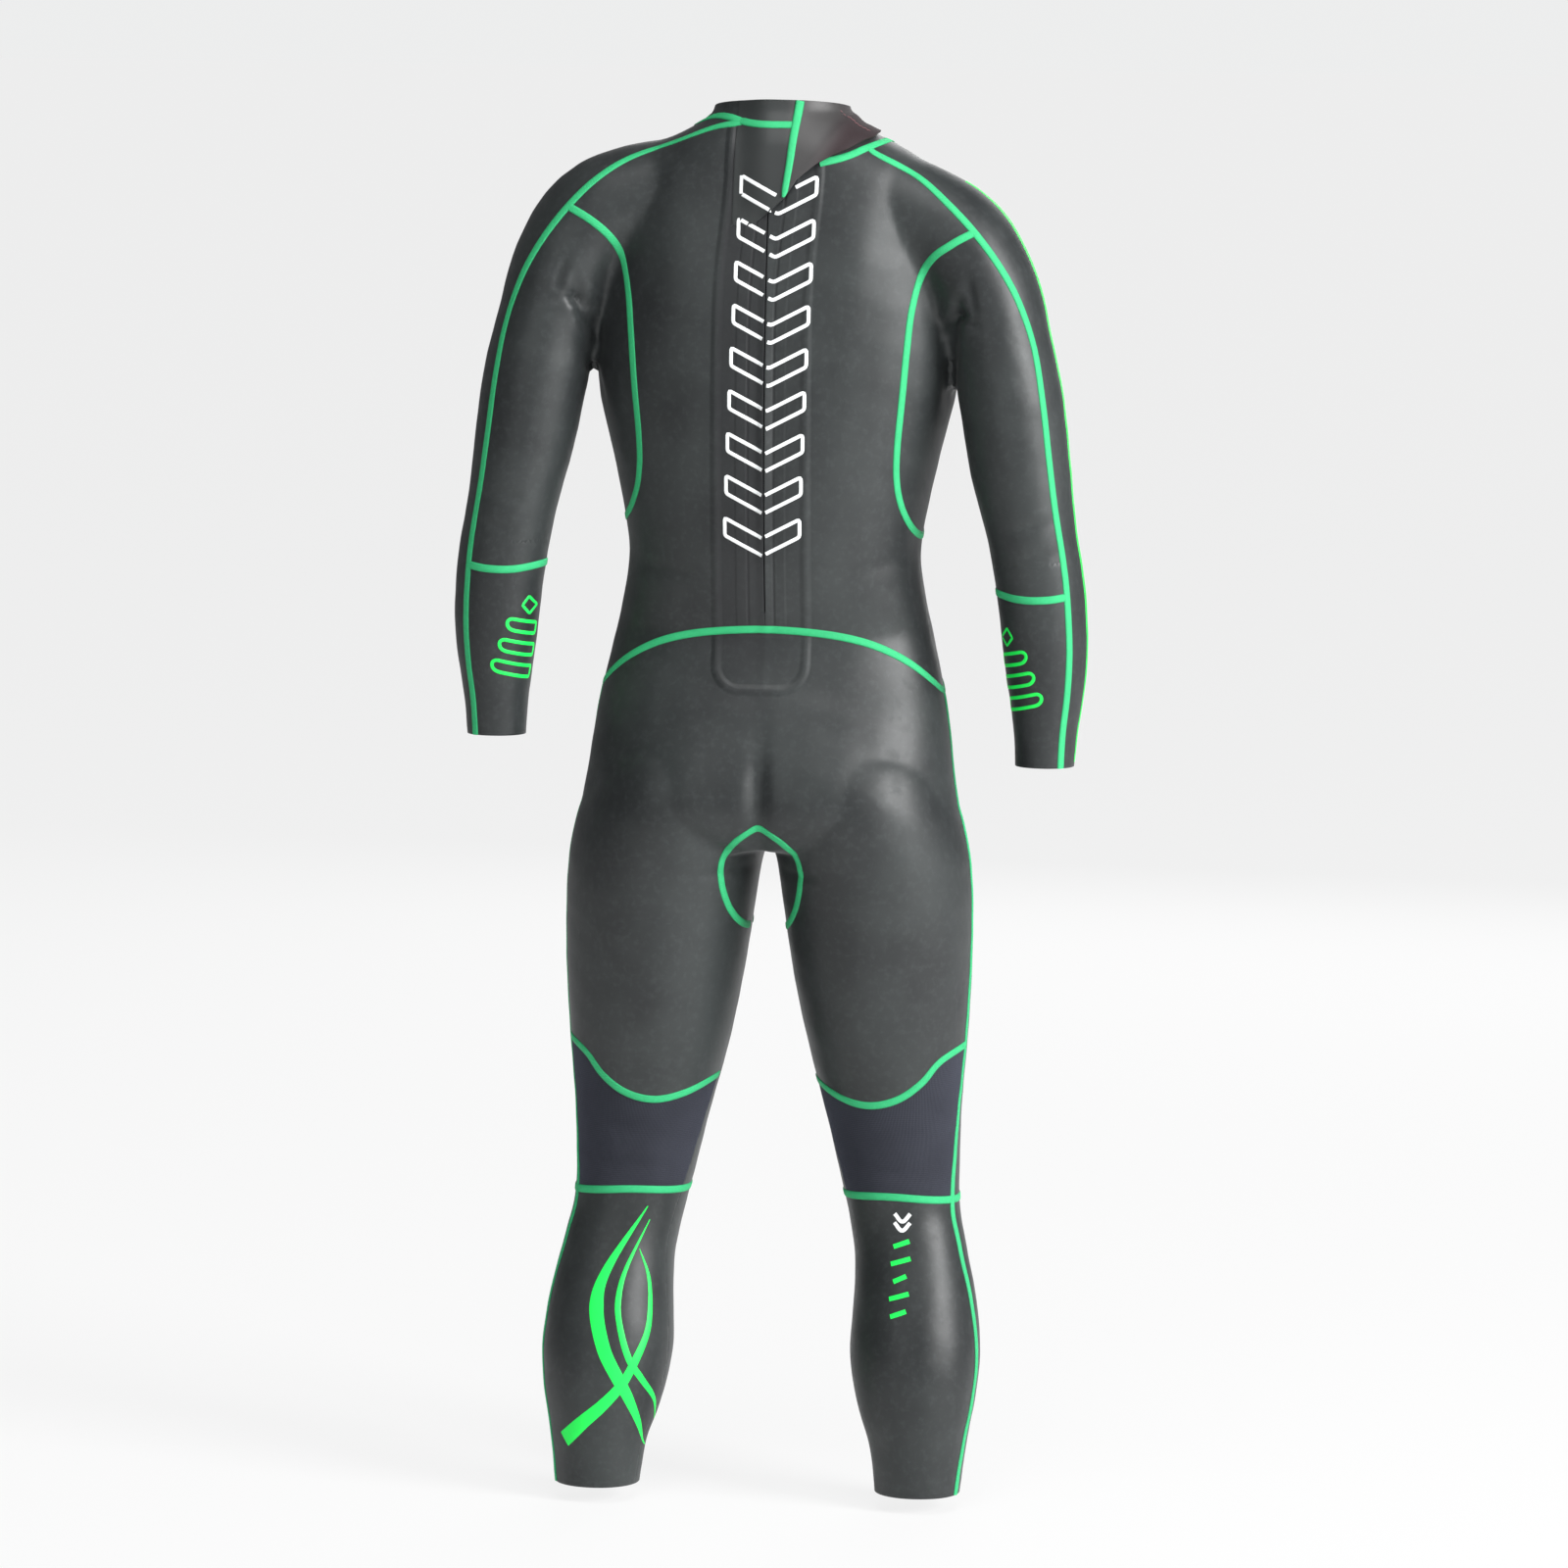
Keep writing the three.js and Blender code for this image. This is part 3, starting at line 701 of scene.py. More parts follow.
def round_rims(piece: Piece, width: float, segments: int = 2, angle: float = CUT_EDGE) -> None:
    """Bevels a piece's sharp edges.

    Args:
        piece: The piece.
        width: The bevel's width, in mm.
        segments: Its steps.
        angle: How sharp an edge has to be, in radians.
    """
    limits = {"limit_method": "ANGLE", "angle_limit": angle}
    apply_modifier(piece, "BEVEL", width=width * MM, segments=segments, **limits)


def outward(piece: Piece) -> None:
    """Turns a closed piece's faces outwards."""
    mesh = bmesh.new()
    mesh.from_mesh(piece.data)
    bmesh.ops.remove_doubles(mesh, verts=mesh.verts, dist=1e-7)
    bmesh.ops.recalc_face_normals(mesh, faces=mesh.faces)
    if mesh.calc_volume(signed=True) < 0:
        bmesh.ops.reverse_faces(mesh, faces=mesh.faces)
    mesh.to_mesh(piece.data)
    mesh.free()


def merged(name: str, pieces: Sequence[Piece]) -> Piece:
    """Joins pieces into one, under a name."""
    only(*pieces)
    if len(pieces) > 1:
        bpy.ops.object.join()
    joined = bpy.context.view_layer.objects.active
    joined.name = name
    joined.data.name = name
    return joined


def soften(piece: Piece, degrees: float = 35) -> None:
    """Smooth shading that keeps edges sharper than an angle."""
    only(piece)
    bpy.ops.object.shade_smooth_by_angle(angle=math.radians(degrees))


def dress(piece: Piece, body: str, slot: str, *materials: Material) -> Piece:
    """Gives a piece its finish and the body that it moves with.

    Args:
        piece: The piece.
        body: The body's name.
        slot: The record's material slot; not used.
        materials: Its materials, in order.

    Returns:
        The piece.
    """
    if len(piece.data.materials) == 0:
        for material in materials:
            piece.data.materials.append(material)
    if body:
        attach(piece, body)
    LOG.info("%s: %d faces", piece.name, len(piece.data.polygons))
    return piece


# ---------------------------------------------------------------- seam lines
def sink(side: Side, x: Array) -> Array:
    """How much lower the right sleeve hangs, in mm, at a distance x from the centre line."""
    return 20.0 * np.clip((np.abs(x) - 60) / 120, 0, 1) if side is Side.RIGHT else 0.0 * np.asarray(x)


@dataclass(frozen=True)
class SeamLines:
    """The seams' courses over the suit, in mm: X and Z, or Y and Z at the sides."""

    raglan: tuple = (
        (100, -34), (146, -51), (178, -72), (206, -100), (232, -134), (252, -170), (268, -216), (278, -271),
        (285, -326), (292, -378), (300, -425), (305, -465), (308, -520), (306, -566), (301, -614),
        (298, -700),
    )
    raglan_left: tuple = ((-27, -13), (-60, -19))
    raglan_right: tuple = ((98, -36),)
    underarm: tuple = (
        (206, -100), (184, -112), (165, -128), (152, -150), (144, -185), (140, -225), (136, -275),
        (131, -330), (131, -365), (137, -392), (150, -415), (172, -430),
    )
    forearm: tuple = ((215, -460), (255, -468), (285, -468), (305, -465))
    neck_left: tuple = ((-120, 2), (-60, -8), (-27, -13), (-8, -14), (0, -14))
    neck_right: tuple = ((0, -62), (48, -53), (76, -46), (98, -36), (150, -14))
    neck_front: tuple = ((-120, 2), (-60, -12), (8, -20), (60, -26), (98, -36), (150, -14))
    hip: tuple = (
        (-220, -640), (-184, -600), (-165, -576), (-140, -555), (-105, -538), (-60, -528), (0, -524),
        (60, -528), (105, -538), (140, -555), (165, -576), (184, -600), (220, -640),
    )
    gusset: tuple = ((0, -720), (25, -738), (40, -762), (38, -795), (26, -825), (0, -850))
    knee_top: tuple = (
        (20, -975), (50, -990), (80, -1004), (110, -1010), (140, -1003), (165, -985), (185, -962),
        (230, -940),
    )
    knee_foot: tuple = ((20, -1116), (80, -1109), (130, -1105), (180, -1109), (240, -1118))
    side: tuple = (
        (0, 120), (0, -300), (-4, -600), (-14, -700), (-15, -850), (-12, -1000), (-25, -1100), (-45, -1200),
        (-62, -1300), (-78, -1400), (-84, -1480),
    )
    centre_front: float = 8

    def fine(self, points: Sequence[Sequence[float]]) -> Array:
        """A course in fine steps, in metres."""
        return spline(points, 6) * MM

    def arm(self, points: Sequence[Sequence[float]], side: Side) -> Array:
        """A sleeve's course on one side, in fine steps, in metres."""
        line = spline(points, 6)
        line[:, 1] -= sink(side, line[:, 0])
        line[:, 0] *= side.value
        return line * MM

    def leg(self, points: Sequence[Sequence[float]], side: Side) -> Array:
        """A leg's course on one side."""
        return self.fine(points) * (side.value, 1)

    def raglan_line(self, side: Side) -> Array:
        """The whole raglan seam of one side, from the neck seam to the cuff."""
        start = self.raglan_left if side is Side.LEFT else self.raglan_right
        mirrored = [(side.value * x, z - float(sink(side, np.array(x)))) for x, z in self.raglan]
        return self.fine([*start, *mirrored])

    def gusset_loop(self) -> Array:
        """The gusset's closed outline."""
        half = self.fine(self.gusset)
        return np.vstack([half, (half * (-1, 1))[::-1][1:-1]])

    def side_y(self, z: Array) -> Array:
        """Where front and back part at the sides, at heights in metres."""
        line = spline(self.side, 6)[::-1] * MM
        return np.interp(z, line[:, 1], line[:, 0])


SEAMS = SeamLines()


# ---------------------------------------------------------------- body form
def zip_arc(z: Array) -> Array:
    """Y of the zip's arc at heights in mm."""
    return 836 - np.sqrt(np.maximum(950.0**2 - (np.asarray(z) + 272) ** 2, 0))


@dataclass(frozen=True)
class Swell:
    """A rounded rise or hollow of the form, in mm."""

    at: tuple[float, float]
    spread: tuple[float, float]
    rise: float
    behind: bool = True
    twin: bool = True


@dataclass(frozen=True)
class Crease:
    """A fold of the cloth, in mm: a groove with a raised lip on each side."""

    start: tuple[float, float]
    end: tuple[float, float]
    deep: float
    width: float = 7
    behind: bool = True


@dataclass
class BodyForm:
    """The filled-out suit as one closed surface."""

    voxel: float = 4 * MM
    torso: tuple = (
        (40, 62, 62, -60), (0, 66, 64, -66), (-12, 76, 66, -72), (-24, 98, 68, -78), (-36, 122, 71, -84),
        (-56, 152, 78, None), (-91, 170, 92, None), (-146, 176, 106, None), (-216, 184, 118, None),
        (-278, 184, 124, None), (-346, 168, 118, None), (-401, 156, 106, None), (-453, 149, 98, None),
        (-503, 156, 96, None), (-530, 162, 97, None), (-575, 172, 99, -92), (-616, 180, 100, -110),
        (-676, 188, 100, -128), (-716, 192, 96, -130), (-751, 168, 70, -104),
    )
    sleeve: tuple = (
        (75, -12, -74, 46, 50, 56), (135, -14, -90, 54, 58, 62), (184, -18, -113, 56, 62, 64),
        (214, -24, -161, 55, 62, 62), (231, -30, -216, 52, 60, 60), (243, -36, -271, 53, 58, 58),
        (253, -40, -336, 51, 53, 53), (266, -41, -405, 45.5, 49, 49), (277, -38, -471, 45, 46, 46),
        (282, -35, -540, 42, 42, 42), (282, -30, -614, 32, 34, 34), (281, -28, -690, 28, 30, 30),
    )
    leg: tuple = (
        (90, -10, -628, 56, 66, 70), (92, -14, -664, 82, 94, 100), (97, -14, -716, 95, 104, 112),
        (109, -12, -776, 98, 98, 108), (116, -7, -860, 93, 91, 96), (123, -1, -945, 83, 82, 84),
        (130, 2, -1021, 70, 72, 70), (136, 2, -1076, 63, 66, 63), (143, -4, -1128, 57, 60, 57),
        (151, -14, -1171, 58, 58, 60), (157, -26, -1221, 64, 55, 68), (159, -38, -1271, 67, 52, 70),
        (162, -48, -1321, 60, 50, 62), (165, -56, -1366, 49, 46, 52), (165, -66, -1440, 40, 40, 42),
    )
    swells: tuple[Swell, ...] = (
        Swell((72, -690), (46, 52), 9),
        Swell((0, -700), (11, 62), -7, twin=False),
        Swell((88, -150), (34, 58), 4),
        Swell((0, -300), (16, 190), -2.5, twin=False),
        Swell((0, -330), (5, 170), 4.2, twin=False),
        Swell((100, -880), (34, 80), 4),
        Swell((84, -200), (50, 40), 6, behind=False),
        Swell((0, -480), (60, 60), 4, behind=False, twin=False),
    )
    creases: tuple[Crease, ...] = (
        Crease((196, -178), (176, -262), 5.0, 9),
        Crease((206, -196), (168, -222), 3.2, 7),
        Crease((214, -214), (182, -206), 2.4, 6),
        Crease((200, -160), (212, -206), 2.6, 7),
        Crease((-198, -166), (-178, -250), 5.0, 9),
        Crease((-214, -180), (-172, -206), 3.0, 7),
        Crease((-222, -196), (-186, -188), 2.2, 6),
        Crease((-206, -150), (-216, -190), 2.4, 7),
        Crease((8, -752), (52, -742), 2.4, 7),
        Crease((-6, -752), (-50, -744), 2.4, 7),
        Crease((14, -770), (64, -772), 1.8, 7),
        Crease((-12, -770), (-62, -776), 1.8, 7),
        Crease((190, -232), (172, -322), 3.2, 8),
        Crease((-192, -226), (-172, -316), 3.2, 8),
        Crease((242, -418), (292, -408), 1.6, 9),
        Crease((-242, -398), (-292, -390), 1.6, 9),
        Crease((250, -446), (300, -442), 1.2, 8),
        Crease((-250, -430), (-300, -424), 1.2, 8),
        Crease((84, -1050), (176, -1040), 1.3, 11),
        Crease((-84, -1046), (-176, -1040), 1.3, 11),
        Crease((92, -1078), (186, -1084), 1.0, 10),
        Crease((-92, -1082), (-186, -1078), 1.0, 10),
        Crease((60, -470), (148, -452), 1.2, 12),
        Crease((-60, -474), (-146, -458), 1.2, 12),
        Crease((190, -160), (176, -260), 4.0, 9, behind=False),
        Crease((-190, -150), (-176, -250), 4.0, 9, behind=False),
        Crease((12, -740), (90, -690), 2.6, 10, behind=False),
        Crease((-12, -740), (-90, -690), 2.6, 10, behind=False),
    )

    def _ring(
        self, centre: Array, across: Array, half: float, front: float, back: float, sides: int, power: float
    ) -> Array:
        """One rounded section of a limb or the torso, in mm."""
        angle = 2 * math.pi * np.arange(sides) / sides

        def rounded(value: Array) -> Array:
            """A circle's coordinate, squared off."""
            return np.sign(value) * np.abs(value) ** (2 / power)

        wide = rounded(np.cos(angle)) * half
        deep = rounded(np.sin(angle)) * np.where(np.sin(angle) > 0, front, back)
        return np.column_stack([centre[0] + across[0] * wide, centre[1] + deep, centre[2] + across[1] * wide])

    def _tube(self, rings: list[Array]) -> tuple[Array, list]:
        """A closed tube through sections."""
        sides = len(rings[0])
        points = np.vstack([*rings, rings[0].mean(0), rings[-1].mean(0)])
        faces: list = []
        for i in range(len(rings) - 1):
            for j in range(sides):
                a, b = i * sides + j, i * sides + (j + 1) % sides
                faces.append((a, b, b + sides, a + sides))
        top, foot = len(points) - 2, len(points) - 1
        base = (len(rings) - 1) * sides
        for j in range(sides):
            faces.append((top, (j + 1) % sides, j))
            faces.append((foot, base + j, base + (j + 1) % sides))
        return points * MM, faces

    def _torso(self) -> tuple[Array, list]:
        """The torso's tube."""
        rows = [(z, half, front, zip_arc(z) if back is None else back) for z, half, front, back in self.torso]
        rings = []
        for z, half, front, back in spline(rows, 4):
            rear = float(zip_arc(z)) if -530 < z < -56 else back
            middle, deep = (front + rear) / 2, (front - rear) / 2
            rings.append(self._ring((0, middle, z), (1, 0), half, deep, deep, 96, 2.3))
        return self._tube(rings)

    def _limb(
        self, stations: Sequence[Sequence[float]], side: Side, power: float, sinks: bool
    ) -> tuple[Array, list]:
        """A sleeve's or a leg's tube."""
        rows = np.asarray(stations, float).copy()
        if sinks:
            rows[:, 2] -= sink(side, rows[:, 0])
        rows[:, 0] *= side.value
        fine = spline(rows, 4)
        before, after = np.vstack([fine[:1], fine[:-1]]), np.vstack([fine[1:], fine[-1:]])
        along = (after - before)[:, [0, 2]]
        along /= np.linalg.norm(along, axis=1)[:, None]
        rings = [
            self._ring(row[:3], (-step[1], step[0]), row[3], row[4], row[5], 64, power)
            for row, step in zip(fine, along)
        ]
        return self._tube(rings)

    def build(self) -> tuple[Array, Array, Array]:
        """Builds the surface.

        Returns:
            Its points, triangles and point normals.
        """
        tubes = [self._torso()]
        for side in Side:
            tubes.append(self._limb(self.sleeve, side, 2.0, True))
            tubes.append(self._limb(self.leg, side, 2.1, False))
        pieces = [mesh_piece("tube", points, faces) for points, faces in tubes]
        for piece in pieces:
            outward(piece)
        form = merged("form", pieces)
        apply_modifier(form, "REMESH", mode="VOXEL", voxel_size=self.voxel, use_smooth_shade=True)
        apply_modifier(form, "SMOOTH", factor=0.5, iterations=10)
        self._ease(form)
        mesh = form.data
        points = np.empty(len(mesh.vertices) * 3)
        mesh.vertices.foreach_get("co", points)
        points = points.reshape(-1, 3)
        points = points + self._normals(mesh) * self._relief(points)[:, None]
        mesh.vertices.foreach_set("co", points.ravel())
        mesh.update()
        normals = self._normals(mesh)
        mesh.calc_loop_triangles()
        corners = np.empty(len(mesh.loop_triangles) * 3, np.int32)
        mesh.loop_triangles.foreach_get("vertices", corners)
        bpy.data.objects.remove(form, do_unlink=True)
        LOG.info("form: %d points", len(points))
        return points, corners.reshape(-1, 3), normals

    def _normals(self, mesh: bpy.types.Mesh) -> Array:
        """The mesh's point normals."""
        flat = np.empty(len(mesh.vertices) * 3)
        mesh.vertex_normals.foreach_get("vector", flat)
        return flat.reshape(-1, 3)

    def _ease(self, form: Piece) -> None:
        """Smooths the joints of sleeves and legs with the torso further."""
        group = form.vertex_groups.new(name="joints")
        points = np.array([v.co for v in form.data.vertices])
        near = np.zeros(len(points))
        for x, y, z, reach in ((190, -20, -150, 90), (150, -10, -70, 60), (0, 0, -765, 70), (95, 0, -40, 50)):
            for side in Side:
                centre = np.array([side.value * x, y, z - float(sink(side, np.array(x)))]) * MM
                away = np.linalg.norm((points - centre) * (1, 0.6, 1), axis=1)
                near = np.maximum(near, smoothstep(-away, -reach * MM, -reach * 0.4 * MM))
        for index in np.nonzero(near > 0.02)[0]:
            group.add([int(index)], float(near[index]), "REPLACE")
        apply_modifier(form, "SMOOTH", factor=0.5, iterations=30, vertex_group="joints")
        form.vertex_groups.clear()

    def _relief(self, points: Array) -> Array:
        """How far each point moves outwards, for muscle, folds and unevenness."""
        x, y, z = points.T / MM
        back = smoothstep(-y, -10, 25)
        wave = np.sin(z / 37 + np.sin(y / 29) + 0.6 * np.sin(x / 41))
        total = 0.35 * np.sin(x / 23 + 1.1 * np.sin(z / 61)) * wave
        total += 0.2 * np.sin(x / 9.1 + z / 14 + 1.7 * np.sin(y / 19)) * np.sin(z / 11.3 - x / 21)
        for swell in self.swells:
            facing = back if swell.behind else 1 - back
            for turn in (1, -1) if swell.twin else (1,):
                away = ((x - turn * swell.at[0]) / swell.spread[0]) ** 2
                away += ((z - swell.at[1]) / swell.spread[1]) ** 2
                total += facing * swell.rise * np.exp(-away)
        for crease in self.creases:
            a, b = np.array(crease.start, float), np.array(crease.end, float)
            length = float(np.hypot(*(b - a)))
            unit = (b - a) / length
            along = (x - a[0]) * unit[0] + (z - a[1]) * unit[1]
            across = (x - a[0]) * -unit[1] + (z - a[1]) * unit[0] + 2.0 * np.sin(along / 17)
            window = smoothstep(along, -6, length * 0.35) * smoothstep(-along, -length - 6, -length * 0.55)
            far = (across / crease.width) ** 2
            facing = back if crease.behind else 1 - back
            total += facing * window * crease.deep * (0.9 * far - 1) * np.exp(-far)
        return total * MM


# ---------------------------------------------------------------- cutting the skin
class Skin:
    """The form's surface while it is parted along seams."""

    def __init__(self, points: Array, faces: Array, normals: Array) -> None:
        """Starts from a surface.

        Args:
            points: Its points.
            faces: Its triangles.
            normals: The points' normals.
        """
        self.points, self.faces, self.normals = points, faces, normals
        self.lines: dict[str, list[Array]] = {}

    def copy(self) -> "Skin":
        """A skin with its own arrays."""
        return Skin(self.points.copy(), self.faces.copy(), self.normals.copy())

    def part(self, name: str, value: Array, active: Array) -> None:
        """Parts triangles along the line where a value changes sign.

        Args:
            name: What the line is called.
            value: The value at each point.
            active: Where the cut may run.
        """
        value = np.where(np.abs(value) < 2e-5, 2e-5, value)
        sides = self.faces[:, [0, 1, 1, 2, 2, 0]].reshape(-1, 2)
        low, high = sides.min(1), sides.max(1)
        crossing = (value[low] > 0) != (value[high] > 0)
        crossing &= active[low] & active[high]
        key = low.astype(np.int64) * len(self.points) + high
        unique, place = np.unique(key[crossing], return_inverse=True)
        if len(unique) == 0:
            LOG.warning("seam %s cuts nothing", name)
            return
        a, b = unique // len(self.points), unique % len(self.points)
        share = (value[a] / (value[a] - value[b]))[:, None]
        fresh = self.points[a] * (1 - share) + self.points[b] * share
        lean = self.normals[a] * (1 - share) + self.normals[b] * share
        lean /= np.linalg.norm(lean, axis=1)[:, None]
        first = len(self.points)
        middle = np.full(len(sides), -1)
        middle[crossing] = first + place.ravel()
        middle = middle.reshape(-1, 3)
        count = (middle >= 0).sum(1)
        kept = self.faces[count == 0]
        made = [kept]
        links = []
        for face, mids in zip(self.faces[count == 1], middle[count == 1]):
            k = int(np.argmax(mids >= 0))
            p, q, r, m = face[k], face[(k + 1) % 3], face[(k + 2) % 3], mids[k]
            made.append(np.array([[p, m, r], [m, q, r]]))
        for face, mids in zip(self.faces[count >= 2], middle[count >= 2]):
            k = int(np.argmin(mids))
            p, q, r = face[k], face[(k + 1) % 3], face[(k + 2) % 3]
            m1, m2 = mids[(k + 1) % 3], mids[(k + 2) % 3]
            made.append(np.array([[p, q, m1], [p, m1, m2], [m2, m1, r]]))
            links.append((m1, m2))
        self.points = np.vstack([self.points, fresh])
        self.normals = np.vstack([self.normals, lean])
        self.faces = np.vstack(made)
        self.lines[name] = self._chains(links)

    def _chains(self, links: list) -> list[Array]:
        """Lines of points from the short links of a cut."""
        beside: dict[int, list[int]] = {}
        for a, b in links:
            beside.setdefault(int(a), []).append(int(b))
            beside.setdefault(int(b), []).append(int(a))
        left = set(beside)
        chains = []
        for start in sorted(beside, key=lambda k: (len(beside[k]), k)):
            if start not in left:
                continue
            chain = [start]
            left.discard(start)
            while True:
                ahead = [k for k in beside[chain[-1]] if k in left]
                if not ahead:
                    break
                chain.append(ahead[0])
                left.discard(ahead[0])
            if len(beside[start]) > 1 and chain[0] in beside[chain[-1]] and len(chain) > 8:
                chain.append(chain[0])
            if len(chain) > 3:
                chains.append(self.points[chain])
        return chains

    def along(self, name: str, line: Array, keep: Callable[[Array], Array]) -> None:
        """Parts the skin along a course in X and Z.

        Args:
            name: The seam's name.
            line: The course.
            keep: Says which points the cut may touch.
        """
        flat = self.points[:, [0, 2]]
        near = ((flat > line.min(0) - 0.02) & (flat < line.max(0) + 0.02)).all(1)
        value, between = np.ones(len(flat)), np.zeros(len(flat), bool)
        value[near], between[near] = offset_from(line, flat[near])
        self.part(name, value, between & (np.abs(value) < 0.02) & keep(self.points))

    def drop(self, gone: Callable[[Array], Array]) -> None:
        """Removes the triangles whose middle a test picks."""
        middle = self.points[self.faces].mean(1)
        self.faces = self.faces[~gone(middle)]

    def tree(self) -> BVHTree:
        """A search tree of the surface."""
        corners = [tuple(map(int, f)) for f in self.faces]
        return BVHTree.FromPolygons([Vector(p) for p in self.points], corners)

    def patch(self, chosen: Array) -> tuple[Array, Array, Array]:
        """The chosen triangles on their own.

        Args:
            chosen: True for each triangle taken.

        Returns:
            Points, triangles and normals.
        """
        faces = self.faces[chosen]
        used, place = np.unique(faces, return_inverse=True)
        return self.points[used], place.reshape(-1, 3), self.normals[used]


def closed_shell(
    name: str, patch: tuple[Array, Array, Array], low: Array, high: Array, cloth: Optional[Array] = None
) -> Piece:
    """A sheet with thickness over a patch of surface.

    Args:
        name: The piece's name.
        patch: Points, triangles and normals.
        low: The inner face's lift at each point.
        high: The outer face's lift at each point.
        cloth: The map of each point.

    Returns:
        The closed piece.
    """
    points, faces, normals = patch
    count = len(points)
    outer = points + normals * high[:, None]
    inner = points + normals * low[:, None]
    edges = faces[:, [0, 1, 1, 2, 2, 0]].reshape(-1, 2)
    key = set(map(tuple, edges.tolist()))
    rim = [(a, b) for a, b in key if (b, a) not in key]
    sides = [(b, a, a + count, b + count) for a, b in rim]
    under = [(a + count, c + count, b + count) for a, b, c in faces]
    both = None if cloth is None else np.vstack([cloth, cloth])
    return mesh_piece(name, np.vstack([outer, inner]), [*faces.tolist(), *under, *sides], both)


def ribbon(
    name: str,
    path: Array,
    tree: BVHTree,
    width: float | Array,
    height: float,
    step: float = 2.5 * MM,
    lift: float = 0.0,
    smooth: int = 4,
) -> Piece:
    """A domed band laid along a path on the surface.

    Args:
        name: The piece's name.
        path: The path's points.
        tree: The surface.
        width: The band's width, or one at each of the path's points.
        height: How proud its crown stands.
        step: The spacing of its sections.
        lift: How far its underside stands off the surface.
        smooth: How many times the path is evened out.

    Returns:
        The closed piece, mapped along and across.
    """
    run = np.concatenate([[0], np.cumsum(np.linalg.norm(np.diff(path, axis=0), axis=1))])
    count = max(int(run[-1] / step), 3)
    marks = np.linspace(0, run[-1], count + 1)
    line = np.column_stack([np.interp(marks, run, path[:, k]) for k in range(3)])
    widths = np.interp(marks, run, np.broadcast_to(width, len(path)))
    for _ in range(smooth):
        line[1:-1] = (line[:-2] + 2 * line[1:-1] + line[2:]) / 4
    seats = [tree.find_nearest(Vector(p)) for p in line]
    line = np.array([seat[0] for seat in seats])
    normal = np.array([seat[1] for seat in seats])
    for _ in range(3):
        normal[1:-1] = (normal[:-2] + 2 * normal[1:-1] + normal[2:]) / 4
    normal /= np.linalg.norm(normal, axis=1)[:, None]
    ahead = np.vstack([line[1:], line[-1:]]) - np.vstack([line[:1], line[:-1]])
    across = np.cross(normal, ahead)
    across /= np.linalg.norm(across, axis=1)[:, None]
    shares = np.array([-1, -0.86, -0.5, 0, 0.5, 0.86, 1])
    crown = np.array([0.1, 0.72, 0.95, 1, 0.95, 0.72, 0.1])
    rows, cloth = [], []
    for share, rise in zip(shares, crown):
        row = []
        for p, n, c, w in zip(line, normal, across, widths):
            seat = tree.find_nearest(Vector(p + c * share * w / 2))
            lean = np.array(seat[1])
            lean = lean if lean @ n > 0.2 else n
            row.append(np.array(seat[0]) + lean * (lift + height * rise))
        rows.append(row)
        cloth.append(np.column_stack([marks, share * widths / 2]))
    for share in (1, 0, -1):
        row = []
        for p, n, c, w in zip(line, normal, across, widths):
            seat = tree.find_nearest(Vector(p + c * share * w / 2))
            row.append(np.array(seat[0]) + n * (lift - 0.35 * MM if lift == 0 else lift))
        rows.append(row)
        cloth.append(np.column_stack([marks, share * widths / 2]))
    grid = np.array(rows).transpose(1, 0, 2)
    chart = np.array(cloth).transpose(1, 0, 2)
    length, round_ = grid.shape[:2]
    faces = []
    for i in range(length - 1):
        for j in range(round_):
            k = (j + 1) % round_
            faces.append((i * round_ + j, i * round_ + k, (i + 1) * round_ + k, (i + 1) * round_ + j))
    faces.append(tuple(range(round_))[::-1])
    faces.append(tuple((length - 1) * round_ + j for j in range(round_)))
    piece = mesh_piece(name, grid.reshape(-1, 3), faces, chart.reshape(-1, 2))
    outward(piece)
    soften(piece, 50)
    return piece


